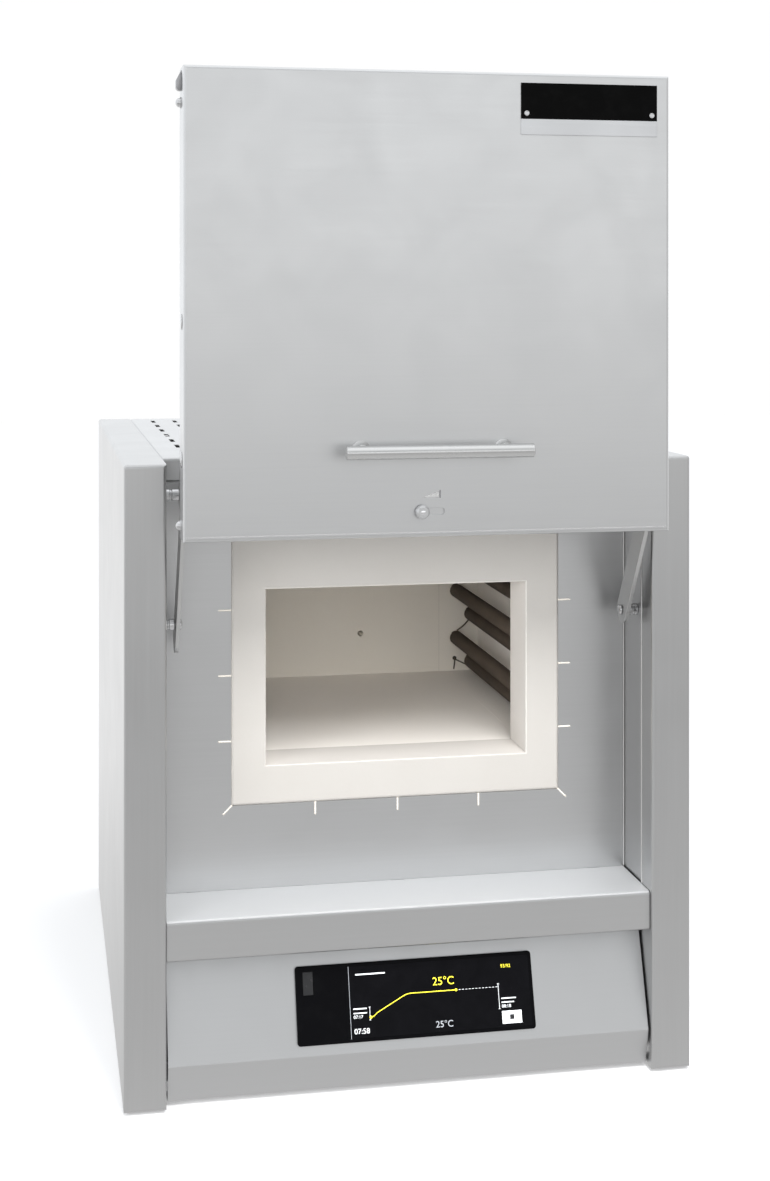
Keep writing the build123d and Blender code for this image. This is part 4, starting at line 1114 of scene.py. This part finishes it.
def buildDoorTrim():
    left, top, reach = -doorHalf, bufferValues["top"], bufferValues["reach"]
    low = top - bufferValues["tall"]
    corners = [(left, top), (left - reach, top - bufferValues["slope"]), (left - reach, low + 1.6)]
    corners += [(left - reach * 0.6, low), (left, low)]
    outline = [onDoor(x, bufferValues["front"], z) for x, z in corners]
    stop = bmesh.new()
    extrudedInto(stop, outline, (0, bufferValues["depth"] * 0.001, 0))
    bmesh.ops.bevel(stop, geom=stop.edges[:], offset=0.0006, segments=2, profile=0.5, affect="EDGES")
    keepSketch(stop, "doorBuffer", "plainSheet", "door")

    knob = bmesh.new()
    rim, dome, radius = knobValues["rim"], knobValues["dome"], knobValues["radius"]
    turns = [math.pi / 20 * step for step in range(1, 10)]
    profile = [(0, 0), (0, 2.25), (2.1, 2.25), (2.2, 5.4), (2.5, 5.9), (rim, radius)]
    profile += [(rim + dome * math.sin(turn), radius * math.cos(turn)) for turn in turns] + [(rim + dome, 0)]
    turnedInto(knob, profile, onDoor(knobValues["x"], 0, knobValues["z"]), (0, -1, 0), 48)
    keepSketch(knob, "sliderKnob", "polishedDome", "air_slider", degrees=40)

    flares = bmesh.new()
    for x in flareValues["places"]:
        turnedInto(flares, flareValues["profile"], onDoor(x, 0, flareValues["z"]), (0, -1, 0))
    keepSketch(flares, "postFlares", "drawnBar", "door")

    def flatMark(name, finish, corners, proud=0.12):
        mark = bmesh.new()
        extrudedInto(mark, [onDoor(x, 0.05, z) for x, z in corners], (0, -(proud + 0.05) * 0.001, 0))
        keepSketch(mark, name, finish, "door")

    flatMark("wedgeMark", "paleMark", [(-10.0, 34.8), (5.8, 34.8), (5.8, 40.2)])
    flatMark("wedgeBar", "printedMark", [(5.9, 34.4), (7.3, 34.4), (7.3, 41.2), (5.9, 41.2)], 0.14)
    # A thin strip painted darker along the door's lower bend: a painted shade line.
    far, low, high = doorHalf - bendShadeValues["inset"], bendShadeValues["low"], bendShadeValues["high"]
    flatMark("lowerBendShade", "seamShade", [(-far, low), (far, low), (far, high), (-far, high)], 0.03)

    screws = bmesh.new()
    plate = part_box("name_plate")
    ring = [(0, 1.1), (0, 2.4), (0.7, 2.4), (1.1, 2.1), (1.1, 1.6), (0.9, 1.1), (0, 1.1)]
    inset = 0.005
    for x in (plate[0][0] + inset, plate[1][0] - inset):
        turnedInto(screws, ring, (x, plate[0][1], plate[0][2] + inset), (0, -1, 0), 32)
    bmesh.ops.remove_doubles(screws, verts=screws.verts, dist=0.000001)
    keepSketch(screws, "plateScrews", "brightFixing", "door")


screwValues = {"Radius": 0.0042, "Height": 0.0024, "Finish": finishes["brightFixing"]}


def buildRearScrews():
    # Pan heads with a cross recess, one on each point.
    inputs = {"Geometry": "Geometry", "Radius": "Float", "Height": "Float", "Finish": "Material"}
    tree, given, out = startGroup("panHeads", inputs, {"Geometry": "Geometry"}, "GeometryNodeTree")

    def vector(x, y, z):
        return addNode(tree, "ShaderNodeCombineXYZ", {0: x, 1: y, 2: z})[0]

    ball = {"Segments": 32, "Rings": 16, "Radius": given["Radius"]}
    head = addNode(tree, "GeometryNodeMeshUVSphere", ball)[0]
    squash = vector(1.0, calc(tree, "DIVIDE", given["Height"], given["Radius"]), 1.0)
    recessed = addNode(tree, "GeometryNodeTransform", {"Geometry": head, "Scale": squash})[0]
    half = calc(tree, "MULTIPLY", given["Radius"], 1.15)
    thin = calc(tree, "MULTIPLY", half, 0.22)
    lift = vector(0.0, given["Height"], 0.0)
    for x, z in ((half, thin), (thin, half)):
        cube = addNode(tree, "GeometryNodeMeshCube", {"Size": vector(x, given["Height"], z)})[0]
        cutter = addNode(tree, "GeometryNodeTransform", {"Geometry": cube, "Translation": lift})[0]
        pair = {"Mesh 1": recessed, "Mesh 2": cutter}
        recessed = addNode(tree, "GeometryNodeMeshBoolean", pair, operation="DIFFERENCE")[0]
    placeOnPoints(tree, given, out, recessed)
    low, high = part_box("rear_screws")
    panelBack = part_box("rear_panel")[1][1]
    inset = 0.0035
    rises = (low[2] + inset, high[2] - inset)
    points = [(x, panelBack, z) for x in (low[0] + inset, high[0] - inset) for z in rises]
    kept = "furnace", "fixing_steel", ["rear_screws"]
    smoothByAngle(nodesPiece("panHeadScrews", points, tree, screwValues, *kept).data, 40)


footValues = {"inset": 0.016, "radius": 16, "edge": [(0, 0), (0, 11.5), (0.4, 12.6), (1.4, 13.4), (3, 14.2)]}


def buildFeet():
    low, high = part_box("feet")
    inset, radius = footValues["inset"], footValues["radius"]
    height = (high[2] - low[2]) * 1000
    profile = footValues["edge"] + [(height - 1, radius), (height, radius), (height, 0)]
    sketch = bmesh.new()
    for x in (low[0] + inset, high[0] - inset):
        for y in (low[1] + inset, high[1] - inset):
            turnedInto(sketch, profile, (x, y, low[2]), (0, 0, 1), 48)
    keepSketch(sketch, "rubberFeet", "footRubber", "furnace", ["feet"])


buildPivots()
buildDoorTrim()
buildRearScrews()
buildFeet()
print("hardware turned")


# Display figures, in millimetres on the controller's glass
displayValues = {
    "middle": (0.004, -0.281654, 0.039),
    "tilt": 18.4,
    "glass": 0.003,
    "rise": 0.00012,
    "curve": [
        (-44.2, 29.5), (-40.5, 30.6), (-37.2, 33.4), (-13, 45.6), (-9.5, 47.2), (-5.5, 47.9), (38.1, 47.9)
    ],
    "curveWidth": 0.75,
    "dots": (((-43.4, 29.8), 1.3), ((38.1, 47.9), 1.2)),
    "dashes": 12,
    "dash": ((40.6, 47.7), (42.4, 48.1)),
    "dashPitch": 3.2,
    "scales": ((-44.2, 27.5, 38.6), (78.4, 28.6, 50.4)),
    "line": 0.2,
    "tick": 0.9,
    "title": ((-56.1, 66.6), (-28.3, 67.8)),
    "key": ((80.3, 15.4), (99.0, 26.4)),
    "stop": ((87.6, 18.9), (91.8, 23.1)),
    "edge": ((-62.6, 12.2), (-62.25, 74.7)),
    "words": ((-59.5, 37.2, 12.5), (-59.5, 33.4, 12.5), (80.6, 37.0, 14.0), (80.6, 33.6, 12.0)),
}
figureValues = {
    "displayHeat": ("25°C", (15.9, 53.2), 7.0, "litYellow"),
    "displayHeatLow": ("25°C", (16.8, 16.6), 5.6, "litGrey"),
    "displayClock": ("07:58", (-59.6, 16.2), 4.6, "litWhite"),
    "displayStart": ("07:17", (-59.6, 29.4), 2.8, "litWhite"),
    "displayEnd": ("08:18", (80.6, 29.4), 2.8, "litWhite"),
    "displayStep": ("93/92", (81.8, 64.4), 3.0, "litYellow"),
}


def buildDisplay():
    tilt = math.radians(displayValues["tilt"])
    across = Vector((1, 0, 0))
    up = Vector((0, math.sin(tilt), math.cos(tilt)))
    out = Vector((0, -math.cos(tilt), math.sin(tilt)))
    start = Vector(displayValues["middle"]) + out * (displayValues["glass"] + displayValues["rise"])

    def onGlass(x, s, lift=0.0):
        return start + across * x * 0.001 + up * s * 0.001 + out * lift

    def patch(sketch, corners, lift=0.0):
        extrudedInto(sketch, [onGlass(x, s, lift - 0.0001) for x, s in corners], out * 0.0001)

    def bars(name, finish, spans, lift=0.0):
        sketch = bmesh.new()
        for low, high in spans:
            patch(sketch, [low, (high[0], low[1]), high, (low[0], high[1])], lift)
        keepSketch(sketch, name, finish, "furnace")

    def stroke(sketch, first, last, width):
        run = Vector((last[0] - first[0], last[1] - first[1]))
        edge = Vector((-run.y, run.x)).normalized() * width / 2
        first, last = Vector(first), Vector(last)
        patch(sketch, (first - edge, last - edge, last + edge, first + edge))

    def disc(sketch, centre, radius, lift):
        turns = [2 * math.pi * step / 20 for step in range(20)]
        circle = [(centre[0] + radius * math.cos(t), centre[1] + radius * math.sin(t)) for t in turns]
        patch(sketch, circle, lift)

    def figures(name, text, place, height, finish):
        curve = bpy.data.curves.new(name, "FONT")
        curve.body = text
        curve.size = height * 0.001 / 0.7
        curve.extrude = 0.00005
        mesh = curveMesh(curve)
        turn = Matrix((across, up, out)).transposed().to_4x4()
        turn.translation = onGlass(*place, 0.00005)
        mesh.transform(turn)
        keepMesh(mesh, name, finish, "furnace")

    yellow = bmesh.new()
    rise = displayValues["curve"]
    for first, last in zip(rise, rise[1:]):
        stroke(yellow, first, last, displayValues["curveWidth"])
    for centre, radius in displayValues["dots"]:
        disc(yellow, centre, radius, 0.00004)
    keepSketch(yellow, "displayCurve", "litYellow", "furnace")

    (left, low), (right, high) = displayValues["dash"]
    steps = [displayValues["dashPitch"] * step for step in range(displayValues["dashes"])]
    white = [((left + step, low), (right + step, high)) for step in steps]
    line, tick = displayValues["line"], displayValues["tick"]
    for x, low, high in displayValues["scales"]:
        white.append(((x - line, low), (x + line, high)))
        white += [((x - tick, end - line), (x + tick, end + line)) for end in (low, high)]
    white += [displayValues["title"], displayValues["key"]]
    white += [((x, s), (x + width, s + 1.0)) for x, s, width in displayValues["words"]]
    bars("displayMarks", "litWhite", white)
    bars("displayStop", "housingBlack", [displayValues["stop"]], 0.00008)
    bars("displayEdge", "litGrey", [displayValues["edge"]])

    for name, figure in figureValues.items():
        figures(name, *figure)


buildDisplay()
print("display lit")
